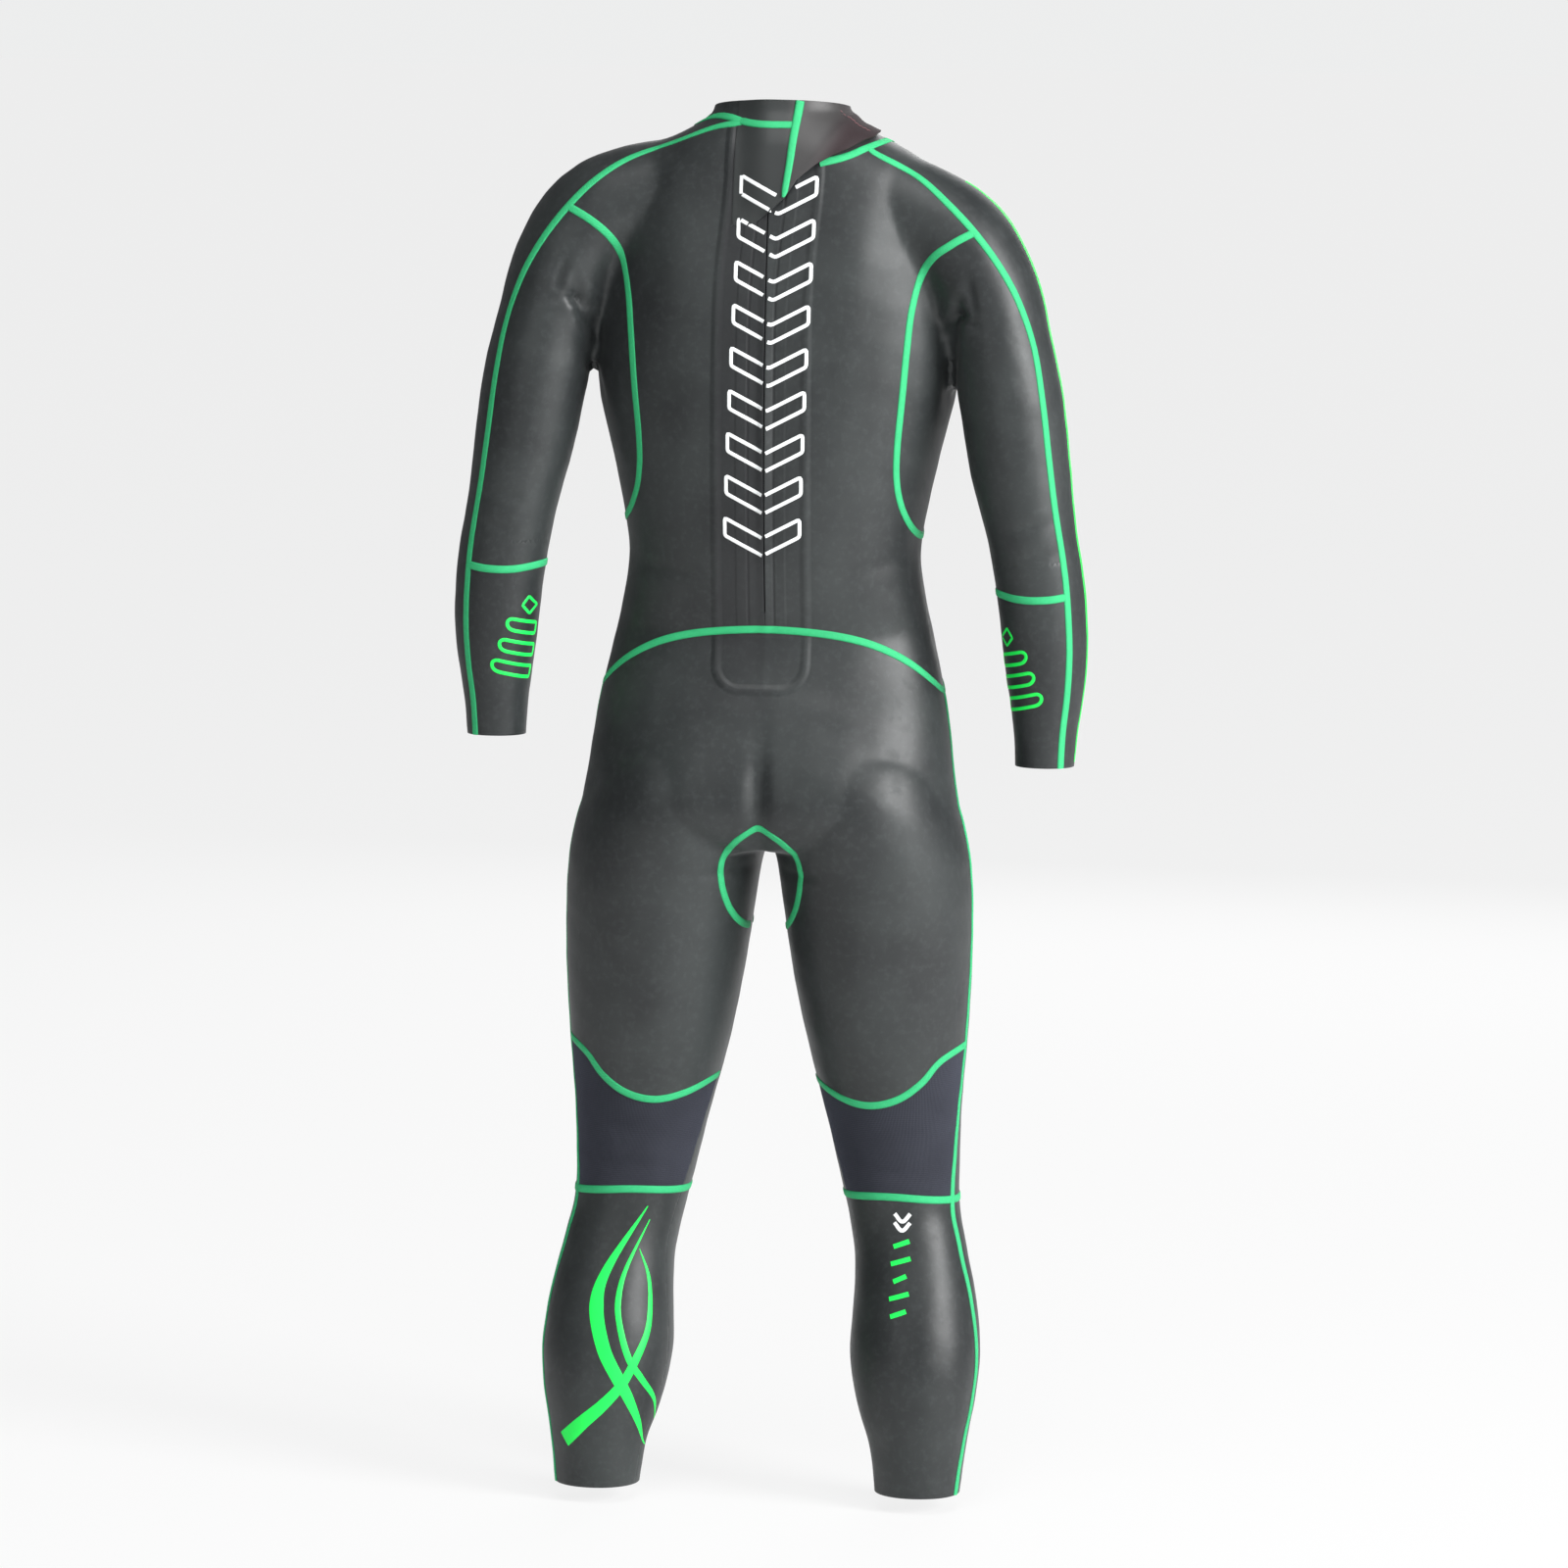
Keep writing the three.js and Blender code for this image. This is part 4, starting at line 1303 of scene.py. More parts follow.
# ---------------------------------------------------------------- the suit's panels
@dataclass
class Panels:
    """The neoprene and jersey panels, parted along their seams."""

    rim_tilt: float = 8
    cuff_z: float = -641
    arm_from: float = 0.215
    ankle_z: float = -1408
    slit_half: float = 0.6
    zip_bottom: float = -507
    skin: Skin = field(init=False)
    whole: Skin = field(init=False)
    tree: BVHTree = field(init=False)

    def build(self) -> None:
        """Forms the body, cuts its seams and makes every panel."""
        self.skin = Skin(*BodyForm().build())
        self._trim(self.skin)
        self.whole = self.skin.copy()
        self.tree = self.skin.tree()
        self._cut_seams()
        self._make_panels()

    def _trim(self, skin: Skin) -> None:
        """Cuts the neck, cuffs and ankles to length."""
        tilt = math.radians(self.rim_tilt)
        rim = np.array([0, math.sin(tilt), math.cos(tilt)])
        skin.part("rim", skin.points @ rim, skin.points[:, 2] > -0.1)
        skin.drop(lambda p: (p @ rim > 0) & (p[:, 2] > -0.1))
        for side in Side:
            level = (self.cuff_z - float(sink(side, np.array(300.0)))) * MM
            height = skin.points[:, 2] - level
            arm = skin.points[:, 0] * side.value > self.arm_from
            skin.part(f"cuff_{side.word}", height, arm & (np.abs(height) < 0.02))
            skin.drop(
                lambda p: (p[:, 0] * side.value > self.arm_from) & (p[:, 2] < level) & (p[:, 2] > level - 0.2)
            )
        level = self.ankle_z * MM
        skin.part("ankles", skin.points[:, 2] - level, np.abs(skin.points[:, 2] - level) < 0.02)
        skin.drop(lambda p: p[:, 2] < level)

    def _cut_seams(self) -> None:
        """Parts the skin along every seam and the zip's slit."""
        skin, seams = self.skin, SEAMS
        everywhere = lambda p: np.ones(len(p), bool)
        behind = lambda p: p[:, 1] < 0
        skin.along("neck_left", seams.fine(seams.neck_left), behind)
        skin.along("neck_right", seams.fine(seams.neck_right), behind)
        skin.along("neck_front", seams.fine(seams.neck_front), lambda p: p[:, 1] > -0.002)
        for side in Side:
            word = side.word
            skin.along(f"raglan_{word}", seams.raglan_line(side), everywhere)
            skin.along(f"underarm_{word}", seams.arm(seams.underarm, side), everywhere)
            skin.along(f"forearm_{word}", seams.arm(seams.forearm, side), everywhere)
        skin.along("hip", seams.fine(seams.hip), everywhere)
        loop = seams.gusset_loop()
        skin.along("gusset", np.vstack([loop, loop[:1]]), everywhere)
        for side in Side:
            word = side.word
            back = lambda p: p[:, 1] < seams.side_y(p[:, 2]) + 0.004
            skin.along(f"knee_top_{word}", seams.leg(seams.knee_top, side), back)
            skin.along(f"knee_foot_{word}", seams.leg(seams.knee_foot, side), everywhere)
        p = skin.points
        value = p[:, 1] - seams.side_y(p[:, 2])
        flank = (p[:, 2] < -0.415) & (np.abs(p[:, 0]) < np.where(p[:, 2] > -0.7, 0.2, 0.4))
        skin.part("side", value, flank & (np.abs(value) < 0.02))
        for mark in (-1, 1):
            p = skin.points
            value = p[:, 0] - mark * self.slit_half * MM
            slit = (p[:, 1] < -0.03) & (p[:, 2] > (self.zip_bottom - 3) * MM) & (np.abs(value) < 0.01)
            skin.part("slit", value, slit)
        p = skin.points
        value = p[:, 2] - self.zip_bottom * MM
        skin.part("slit_end", value, (p[:, 1] < -0.03) & (np.abs(p[:, 0]) < 0.006) & (np.abs(value) < 0.01))
        p = skin.points
        below = (p[:, 1] < -0.03) & (p[:, 2] < (self.zip_bottom + 3) * MM) & (p[:, 2] > -0.54)
        skin.part("back_middle", p[:, 0], below & (np.abs(p[:, 0]) < 0.01))
        p = skin.points
        value = p[:, 0] - seams.centre_front * MM
        skin.part("collar_front", value, (p[:, 1] > 0.02) & (p[:, 2] > -0.06) & (np.abs(value) < 0.01))
        gap = self.slit_half * MM
        skin.drop(lambda m: (m[:, 1] < -0.03) & (m[:, 2] > self.zip_bottom * MM) & (np.abs(m[:, 0]) < gap))

    def _labels(self, middle: Array) -> list[str]:
        """The panel that each place belongs to."""
        seams = SEAMS
        flat = middle[:, [0, 2]]
        x, y, z = middle.T
        names = np.full(len(middle), "", dtype=object)
        behind = y < seams.side_y(z)

        def claim(where: Array, name: str) -> None:
            """Gives the unclaimed places to a panel."""
            names[(names == "") & where] = name

        def above(line: Array) -> Array:
            """Which places are over a course."""
            return (flat[:, 1] > np.interp(flat[:, 0], line[:, 0], line[:, 1])) & (
                (flat[:, 0] > line[0, 0]) & (flat[:, 0] < line[-1, 0])
            )

        rear = y < 0
        claim(rear & (x < 0) & above(seams.fine(seams.neck_left)), "collar_left")
        claim(rear & (x >= 0) & above(seams.fine(seams.neck_right)), "collar_right")
        front = ~rear & above(seams.fine(seams.neck_front))
        claim(front & (x < seams.centre_front * MM), "collar_left")
        claim(front, "collar_right")
        claim(inside(seams.gusset_loop(), flat), "gusset_panel")
        hip = np.vstack([seams.fine(seams.hip), [[0.26, -1.46], [-0.26, -1.46]]])
        low = inside(hip, flat)
        for side in Side:
            word, own = side.word, x * side.value > 0
            top, foot = seams.leg(seams.knee_top, side), seams.leg(seams.knee_foot, side)
            knee = inside(np.vstack([top, foot[::-1]]), flat)
            hem = [[side.value * 0.3, foot[-1, 1]], [side.value * 0.3, -1.46], [side.value * 0.02, -1.46]]
            calf = inside(np.vstack([foot, hem]), flat)
            claim(low & own & behind & knee, f"knee_back_{word}")
            claim(low & own & behind & calf, f"calf_panel_{word}")
            claim(low & own & ~behind & calf, f"front_shin_{word}")
            claim(low & own & ~behind, f"front_thigh_{word}")
        claim(low, "seat_panel")
        for side in Side:
            word, s = side.word, side.value
            raglan = seams.raglan_line(side)
            outer = np.vstack([raglan, [[s * 0.42, -0.72], [s * 0.42, 0.06], [raglan[0, 0], 0.06]]])
            claim(inside(outer, flat), f"outer_sleeve_{word}")
            fore = seams.arm(seams.forearm, side)
            sunk = float(sink(side, np.array(200.0)))
            near, beyond = s * 0.2, s * 0.42
            far = [[beyond, fore[-1, 1]], [beyond, -0.72], [near, -0.72], [near, (-456 - sunk) * MM]]
            wrist = np.vstack([fore, far])
            claim(inside(wrist, flat), f"forearm_panel_{word}")
            under = seams.arm(seams.underarm, side)
            arm = np.vstack([under, [[s * 0.2, (-440 - sunk) * MM], [s * 0.42, -0.44], [s * 0.42, -0.1]]])
            claim(inside(arm, flat), f"underarm_panel_{word}")
        claim(behind & (x < 0), "back_panel_left")
        claim(behind, "back_panel_right")
        claim(np.ones(len(middle), bool), "chest_panel")
        return names.tolist()

    def _settle(self, names: list[str]) -> Array:
        """Gives stray triangles at seam ends to the panel around them."""
        faces = self.skin.faces
        labels, number = np.unique(np.array(names), return_inverse=True)
        edges = np.sort(faces[:, [0, 1, 1, 2, 2, 0]].reshape(-1, 2), axis=1)
        owner = np.repeat(np.arange(len(faces)), 3)
        order = np.lexsort((edges[:, 1], edges[:, 0]))
        sorted_edges, sorted_owner = edges[order], owner[order]
        same = (sorted_edges[1:] == sorted_edges[:-1]).all(1)
        a, b = sorted_owner[:-1][same], sorted_owner[1:][same]
        for _ in range(4):
            votes = np.zeros((len(faces), len(labels)), np.int32)
            np.add.at(votes, (a, number[b]), 1)
            np.add.at(votes, (b, number[a]), 1)
            own = votes[np.arange(len(faces)), number]
            best = votes.argmax(1)
            lone = (votes.max(1) >= 2) & (own <= 1) & (best != number) & (own < votes.max(1))
            lone &= own == 0
            number = np.where(lone, best, number)
        return labels[number]

    def _cloth_map(self, points: Array) -> Array:
        """Distances round and along a panel, for knit that follows it."""
        x, y, z = points.T
        centre = np.interp(z, [-1.44, -1.17, -0.95, -0.7], [0.165, 0.147, 0.118, 0.0])
        middle = np.interp(z, [-1.44, -1.17, -0.95], [-0.066, -0.014, -0.001])
        turn = np.arctan2(np.abs(x) - centre, middle - y)
        return np.column_stack([turn * 0.068, z])

    def _make_panels(self) -> None:
        """Makes the panels' meshes."""
        names = self._settle(self._labels(self.skin.points[self.skin.faces].mean(1)))
        # The zip skin has the zip's outline pressed through, with painted shade beside the zip.
        smooth, printed = Smoothskin().make(), Smoothskin(name="smoothskin_zip", placket=True).make()
        jersey, lining = Jersey().make(), Lining().make()
        for name in sorted(set(names)):
            points, faces, _ = self.skin.patch(names == name)
            panel = mesh_piece(f"{name}_cloth", points, faces.tolist(), self._cloth_map(points))
            knitted = name.startswith("knee_back")
            zipped = name.startswith(("back_panel", "seat_panel"))
            outside = jersey if knitted else printed if zipped else smooth
            for material in (outside, lining):
                panel.data.materials.append(material)
            lined = {"use_rim": True, "material_offset": 1, "material_offset_rim": 1}
            apply_modifier(panel, "SOLIDIFY", thickness=WALL, offset=-1, use_even_offset=False, **lined)
            round_rims(panel, 0.5)
            soften(panel, 40)
            dress(panel, "suit", "stretch_jersey" if knitted else "smoothskin", outside)
            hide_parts(name)


# ---------------------------------------------------------------- seam tapes
def leg_centre(z: Array) -> Array:
    """How far out the middle of a leg is at heights, in metres."""
    return np.interp(z, [-1.44, -1.17, -0.95, -0.7], [0.165, 0.147, 0.118, 0.1])


@dataclass
class SeamTapes:
    """The green tapes over the seams."""

    panels: Panels
    width: float = 8
    height: float = 0.95
    material: Material = field(init=False)

    def build(self) -> None:
        """Lays every tape but the flap's own."""
        self.material = SeamTape().make()
        lines = self.panels.skin.lines
        for side in Side:
            word, s = side.word, side.value
            neck = lines["neck_left" if s < 0 else "neck_right"]
            if side is Side.RIGHT:
                self._lay("neck_tape_right", self._cropped(neck, lambda p: p[:, 0] > 0.047))
            raglan = lines[f"raglan_{word}"]
            self._lay(f"raglan_tape_back_{word}", self._cropped(raglan, lambda p: p[:, 1] < -0.02))
            self._lay(f"raglan_tape_front_{word}", self._cropped(raglan, lambda p: p[:, 1] > -0.02))
            self._lay(f"underarm_tape_{word}", lines[f"underarm_{word}"])
            self._lay(f"forearm_tape_{word}", lines[f"forearm_{word}"])
            self._lay(f"knee_top_tape_{word}", lines[f"knee_top_{word}"])
            self._lay(f"knee_foot_tape_{word}", lines[f"knee_foot_{word}"])
            outer = lambda p, s=s: (p[:, 0] * s > leg_centre(p[:, 2])) & (p[:, 2] < -0.59)
            self._lay(f"outer_leg_tape_{word}", self._cropped(lines["side"], outer))
        self._lay("neck_tape_front", lines["neck_front"])
        self._lay("hip_tape_back", self._cropped(lines["hip"], lambda p: p[:, 1] < -0.005))
        self._lay("hip_tape_front", self._cropped(lines["hip"], lambda p: p[:, 1] > -0.005))
        self._lay("gusset_tape_back", self._cropped(lines["gusset"], lambda p: p[:, 1] < -0.02))
        self._lay("gusset_tape_front", self._cropped(lines["gusset"], lambda p: p[:, 1] > 0.01))

    def _cropped(self, chains: list[Array], keep: Callable[[Array], Array]) -> list[Array]:
        """The longest runs of the lines that a test keeps."""
        runs = []
        for chain in chains:
            kept = keep(chain)
            closed = len(chain) > 3 and np.allclose(chain[0], chain[-1])
            if closed and not kept.all():
                turn = int(np.argmin(kept[:-1]))
                chain = np.vstack([chain[:-1][turn:], chain[:-1][: turn + 1]])
                kept = keep(chain)
            start = None
            for i, inside_run in enumerate([*kept, False]):
                if inside_run and start is None:
                    start = i
                elif not inside_run and start is not None:
                    if i - start > 5:
                        runs.append(chain[start:i])
                    start = None
        return runs

    def _lay(self, node: str, chains: list[Array]) -> None:
        """Lays one tape, in as many lengths as its seam has."""
        bands = []
        for number, chain in enumerate(chains):
            length = float(np.linalg.norm(np.diff(chain, axis=0), axis=1).sum())
            if length < 0.02:
                continue
            even = (self.height + 0.12 * (len(node) % 3)) * MM
            bands.append(ribbon(f"{node}_{number}", chain, self.panels.tree, self.width * MM, even))
        if not bands:
            LOG.warning("no seam for %s", node)
            return
        piece = merged(f"{node}_stitched", bands)
        dress(piece, "suit", "seam_tape", self.material)
        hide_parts(node)


# ---------------------------------------------------------------- collar flap
@dataclass
class CollarFlap:
    """The flap that grows out of the left back panel and closes over the right of the collar."""

    panels: Panels
    lift: float = 3.6
    thick: float = 2.5
    hinge_x: float = -12
    seam: tuple = ((16, -87), (18, -72), (21, -50), (24, -20), (27, 4), (28, 14))
    outline: tuple = (
        (-36, -116), (-14, -114), (2, -102), (17, -88), (28, -70), (46, -55), (62, -46), (78, -40),
        (92, -32), (99, -30), (101.5, -26), (100, -21), (94, -17), (89, -11), (84, -5), (76, 3), (60, 40),
        (-36, 40),
    )
    patch: tuple = ((66, -34), (80, -32), (91, -26), (88, -19), (80, -12), (66, -14))
    stitch_rows: tuple = (((66, 0), (78, -13), (92, -25)), ((77, -1), (88, -12), (96, -21)))
    outer: BVHTree = field(init=False)
    over: BVHTree = field(init=False)

    def build(self) -> None:
        """Makes the flap, its tape, its fastening and its stitches."""
        self._sheet()
        self._tapes()
        self._fastening()
        self._stitches()

    def _region(self, outline: Array, name: str) -> tuple[Array, Array, Array]:
        """The part of the back's surface within an outline."""
        skin = self.panels.whole.copy()
        skin.along(name, np.vstack([outline, outline[:1]]), lambda p: p[:, 1] < 0)
        middle = skin.points[skin.faces].mean(1)
        return skin.patch(inside(outline, middle[:, [0, 2]]) & (middle[:, 1] < -8 * MM))

    def _rise(self, points: Array) -> tuple[Array, Array]:
        """The lift of the flap's inner and outer faces over the suit."""
        x, z = points[:, 0] / MM, points[:, 2] / MM
        free = smoothstep(x, -34, -2)
        free *= 1 - (1 - smoothstep(z, -116, -92)) * smoothstep(-x, -6, 6)
        low = 0.15 + (self.lift - 0.15) * free
        ripple = 0.7 * np.sin((x + 0.5 * z) / 7.5) * smoothstep(x, 34, 60) * smoothstep(z, -52, -30)
        slant = x - 0.9 * z
        ripple += 0.9 * np.exp(-(((slant - 86) / 6) ** 2)) - 0.7 * np.exp(-(((slant - 101) / 6) ** 2))
        low = low + ripple * smoothstep(x, 26, 44)
        high = low + 0.35 + (self.thick - 0.35) * free
        return low * MM, high * MM

    def _sheet(self) -> None:
        """The flap's own cloth, one piece from the fixed root to the free end."""
        outline = np.array(self.outline, float) * MM
        patch = self._region(outline, "flap")
        points, faces, normals = patch
        low, high = self._rise(points)
        top = points + normals * high[:, None]
        triangles = [tuple(map(int, f)) for f in faces]
        self.outer = BVHTree.FromPolygons([Vector(p) for p in top], triangles)
        body = self.panels.skin
        shift = len(body.points)
        lower = [tuple(map(int, f)) for f in body.faces]
        upper = [(a + shift, b + shift, c + shift) for a, b, c in triangles]
        joint = [Vector(p) for p in np.vstack([body.points, top])]
        self.over = BVHTree.FromPolygons(joint, lower + upper)
        piece = closed_shell("collar_flap_cloth", patch, low, high, points[:, [0, 2]])
        round_rims(piece, 0.5)
        outward(piece)
        soften(piece, 45)
        material = FlapSkin().make()
        dress(piece, "", "smoothskin", material)
        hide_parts("flap_root_panel", "collar_flap_panel")
        self.bend(piece)
        first, second = top[faces[:, 1]] - top[faces[:, 0]], top[faces[:, 2]] - top[faces[:, 0]]

    def bend(self, piece: Piece) -> None:
        """Bakes a piece's transform into its mesh."""
        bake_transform(piece)

    def _on(self, tree: BVHTree, line: Sequence[Sequence[float]]) -> Array:
        """A course in X and Z, in mm, dropped on a surface from behind."""
        return drop_on(tree, spline(line, 8) * MM)

    def _tapes(self) -> None:
        """The tape down the flap's root, and the left neck seam's tape that runs under it."""
        green = SeamTape().make()
        course = self._on(self.outer, self.seam)
        width = np.interp(course[:, 2], [-0.087, -0.08, -0.03, 0.01], [4 * MM, 6.5 * MM, 8 * MM, 9.5 * MM])
        tape = ribbon("flap_tape_stitched", course, self.outer, width, 1.7 * MM)
        dress(tape, "collar_flap", "seam_tape", green)
        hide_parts("flap_tape")
        neck = self._on(self.over, ((-60, -8), (-27, -13), (-8, -15), (10, -15), (23, -15)))
        beside = ((-92, 6, -3), (-90, -14, -3))
        side = [self.panels.tree.find_nearest(Vector(place) * MM)[0] for place in beside]
        neck = spline(np.vstack([side, neck[::8]]), 8)
        band = ribbon("neck_tape_left_stitched", neck, self.over, 8 * MM, 1.0 * MM)
        dress(band, "", "seam_tape", green)
        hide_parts("neck_tape_left")
        self.bend(band)

    def _fastening(self) -> None:
        """Hooks under the flap's end and loops on the collar."""
        outline = np.array(self.patch, float) * MM
        patch = self._region(outline, "fastening")
        points = patch[0]
        low, _ = self._rise(points)
        hooks = closed_shell("flap_hook_strip", patch, low - 1.5 * MM, low + 0.2 * MM)
        loops = closed_shell("collar_loop_strip", patch, low * 0 - 0.3 * MM, low * 0 + 1.1 * MM)
        for piece in (hooks, loops):
            round_rims(piece, 0.3)
            soften(piece, 45)
        bristles = Nylon(name="hook_patch", tone=rgb(44, 36, 36), bristle=True)
        dress(hooks, "collar_flap", "hook_patch", bristles.make())
        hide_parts("flap_hook_patch")
        dress(loops, "suit", "loop_patch", LoopPile().make())
        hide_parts("collar_loop_patch")

    def _stitches(self) -> None:
        """Two rows of stitches that hold the hooks to the flap's end."""
        bpy.ops.object.select_all(action="DESELECT")
        bpy.ops.mesh.primitive_uv_sphere_add(segments=8, ring_count=6, radius=1 * MM)
        seed = bpy.context.object
        bpy.ops.transform.resize(value=(1.7, 0.5, 0.5))
        bpy.ops.object.transform_apply(location=False, rotation=False, scale=True)
        shape = np.array([v.co for v in seed.data.vertices])
        faces = [list(p.vertices) for p in seed.data.polygons]
        bpy.data.objects.remove(seed, do_unlink=True)
        points, polygons = [], []
        for row in self.stitch_rows:
            course = spline([self.outer.find_nearest(Vector((x, -40, z)) * MM)[0] for x, z in row], 6)
            run = np.concatenate([[0], np.cumsum(np.linalg.norm(np.diff(course, axis=0), axis=1))])
            for mark in np.arange(1.5 * MM, run[-1], 4.6 * MM):
                at = np.array([np.interp(mark, run, course[:, k]) for k in range(3)])
                on = np.array([np.interp(min(mark + 1 * MM, run[-1]), run, course[:, k]) for k in range(3)])
                seat, lean, *_ = self.outer.find_nearest(Vector(at))
                ahead = Vector(on - at).normalized()
                across = lean.cross(ahead).normalized()
                basis = np.array([ahead, across, across.cross(ahead).normalized() * -1])
                polygons += [[k + len(points) * len(shape) for k in f] for f in faces]
                points.append(shape @ basis + np.array(seat) + np.array(lean) * 0.1 * MM)
        piece = mesh_piece("flap_end_stitches", np.vstack(points), polygons)
        outward(piece)
        thread = PrintInk("flap_thread", rgb(108, 74, 78), rgb(70, 48, 52), 0.7)
        dress(piece, "collar_flap", "zip_nylon", thread.make())


def drop_on(tree: BVHTree, flat: Array) -> Array:
    """Places over X and Z dropped on a surface from the wearer's back.

    Args:
        tree: The surface.
        flat: The places, in metres.

    Returns:
        The points that hit.
    """
    hits = [tree.ray_cast(Vector((x, -1, z)), Vector((0, 1, 0)))[0] for x, z in flat]
    return np.array([hit for hit in hits if hit is not None])


@dataclass(frozen=True)
class FlapSkin:
    """The flap's coated face, which turns to brown-black fabric at its end."""

    name: str = "flap_skin"
    tone: tuple = rgb(52, 51, 51)
    end: tuple = rgb(34, 22, 25)

    def make(self) -> Material:
        """Builds the material."""
        graph = Graph(self.name)
        place = graph.place()
        x, _, z = graph.axes(place)
        cloud = graph.noise(place, 16, 3, 0.55)
        grain = graph.noise(place, 1500, 2, 0.5)
        cover = (x - z * 0.55 + (cloud - 0.5) * 0.012).remap(0.058, 0.088) * x.remap(0.03, 0.05)
        base = graph.mix(x.remap(0.014, 0.024), rgb(38, 41, 41), self.tone)
        colour = graph.mix(cover, base, self.end)
        return graph.finish(
            Base_Color=graph.mix(cloud.remap(0.35, 0.75) * 0.25, colour, rgb(30, 30, 31)),
            Roughness=cover * 0.28 + grain * 0.08 + 0.46,
            Normal=graph.bump(grain * 0.4 + cloud * 0.6, 0.0003, 0.5),
            Specular_IOR_Level=0.38,
        )


# ---------------------------------------------------------------- zip
@dataclass
class ZipFastener:
    """The back zip: chain, tapes, stops, backing flap, slider and pull tab."""

    panels: Panels
    arc: tuple = (836, -272, 950)
    top_z: float = -48
    bottom_z: float = -507
    rest_z: float = -72
    pitch: float = 2.4
    backing: tuple = ((-43, -62), (43, -62), (43, -550), (21.5, -580), (-21.5, -580), (-43, -550))

    def build(self) -> None:
        """Makes every piece of the zip."""
        self._tapes()
        self._coils()
        self._stops()
        self._backing()
        self._slider()
        self._tab()

    def _at(self, x: Array, deep: Array, angle: float | Array) -> Array:
        """Places on the chain's arc, from distances across it and below the skin, in mm."""
        y0, z0, radius = self.arc
        reach = radius - np.asarray(deep)
        return np.column_stack([x, y0 - reach * np.cos(angle), z0 + reach * np.sin(angle)]) * MM

    def _angle(self, z: float) -> float:
        """The arc's angle at a height."""
        return math.asin((z - self.arc[1]) / self.arc[2])

    def _sweep(self, name: str, section: Sequence[tuple], top: float, bottom: float, steps: int) -> Piece:
        """A closed section drawn along the arc."""
        x, deep = np.array(section, float).T
        angles = np.linspace(self._angle(top), self._angle(bottom), steps + 1)
        rings = [self._at(x, deep, a) for a in angles]
        count = len(x)
        faces = []
        for i in range(steps):
            for j in range(count):
                k = (j + 1) % count
                faces.append((i * count + j, i * count + k, (i + 1) * count + k, (i + 1) * count + j))
        faces.append(tuple(range(count)))
        faces.append(tuple(steps * count + j for j in range(count))[::-1])
        piece = mesh_piece(name, np.vstack(rings), faces)
        outward(piece)
        return piece

    def _tapes(self) -> None:
        """Woven tapes with a corded edge and a line of stitching."""
        material = Webbing().make()
        for side in Side:
            s = side.value
            section = [
                (3.7, 6.45), (4.4, 6.2), (5.1, 6.45), (8, 6.5), (11.6, 6.5), (12, 6.32), (12.5, 6.5),
                (16.4, 6.5), (17, 6.7), (16.4, 6.95), (5.1, 7), (3.7, 6.95),
            ]
            turned = [(s * x, deep) for x, deep in section]
            piece = self._sweep(f"zip_tape_{side.word}_woven", turned, self.top_z + 3, self.bottom_z - 6, 60)
            soften(piece, 40)
            dress(piece, "suit", "zip_webbing", material)
            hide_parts(f"zip_tape_{side.word}")

    def _coils(self) -> None:
        """Two interlocked rows of coil loops."""
        bpy.ops.object.select_all(action="DESELECT")
        lying = (0, math.pi / 2, 0)
        bpy.ops.mesh.primitive_cylinder_add(vertices=8, radius=0.62 * MM, depth=3.1 * MM, rotation=lying)
        seed = bpy.context.object
        bpy.ops.object.transform_apply(location=False, rotation=True, scale=False)
        only(seed)
        bpy.ops.object.mode_set(mode="EDIT")
        bpy.ops.mesh.select_all(action="SELECT")
        bpy.ops.mesh.subdivide(number_cuts=1)
        bpy.ops.transform.resize(value=(1, 1.7, 0.85))
        bpy.ops.object.mode_set(mode="OBJECT")
        points = np.array([v.co for v in seed.data.vertices])
        swollen = 1 + 0.3 * (points[:, 0] < -0.8 * MM)
        points[:, 1:] *= swollen[:, None]
        faces = [list(p.vertices) for p in seed.data.polygons]
        bpy.data.objects.remove(seed, do_unlink=True)
        material = Nylon(name="zip_nylon").make()
        for side in Side:
            s = side.value
            first, last = self._angle(self.top_z - 1), self._angle(self.bottom_z + 1)
            step = self.pitch / self.arc[2]
            rows, polygons = [], []
            start = first - (step / 2 if side is Side.LEFT else 0)
            x, y, z = points.T / MM
            for number, angle in enumerate(np.arange(start, last, -step)):
                rows.append(self._at((x + 1.55) * s, 5.75 + y, angle + z / self.arc[2]))
                polygons += [[k + number * len(points) for k in f] for f in faces]
            piece = mesh_piece(f"zip_coil_{side.word}_teeth", np.vstack(rows), polygons)
            outward(piece)
            soften(piece, 50)
            dress(piece, "suit", "zip_nylon", material)
            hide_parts(f"zip_coil_{side.word}")

    def _block(self, name: str, low: Sequence[float], high: Sequence[float], round_: float) -> Piece:
        """A rounded block in the slider's own frame, in mm: across, deep, along."""
        bpy.ops.object.select_all(action="DESELECT")
        centre = [(a + b) / 2 * MM for a, b in zip(low, high)]
        bpy.ops.mesh.primitive_cube_add(size=1, location=centre)
        piece = bpy.context.object
        piece.scale = [(b - a) * MM for a, b in zip(low, high)]
        bpy.ops.object.transform_apply(location=True, rotation=False, scale=True)
        piece.name = name
        if round_:
            round_rims(piece, round_, 3, 0.5)
        return piece

    def _seat(self, piece: Piece, height: float) -> None:
        """Moves a piece from the slider's frame to its place on the chain."""
        angle = self._angle(height)
        base = self._at(np.zeros(1), np.zeros(1), angle)[0]
        points = np.array([v.co for v in piece.data.vertices])
        x, y, z = points.T
        along, level = math.sin(angle), math.cos(angle)
        turned = np.column_stack([x, y * level + z * along, z * level - y * along])
        piece.data.vertices.foreach_set("co", (turned + base).ravel())
        piece.data.update()

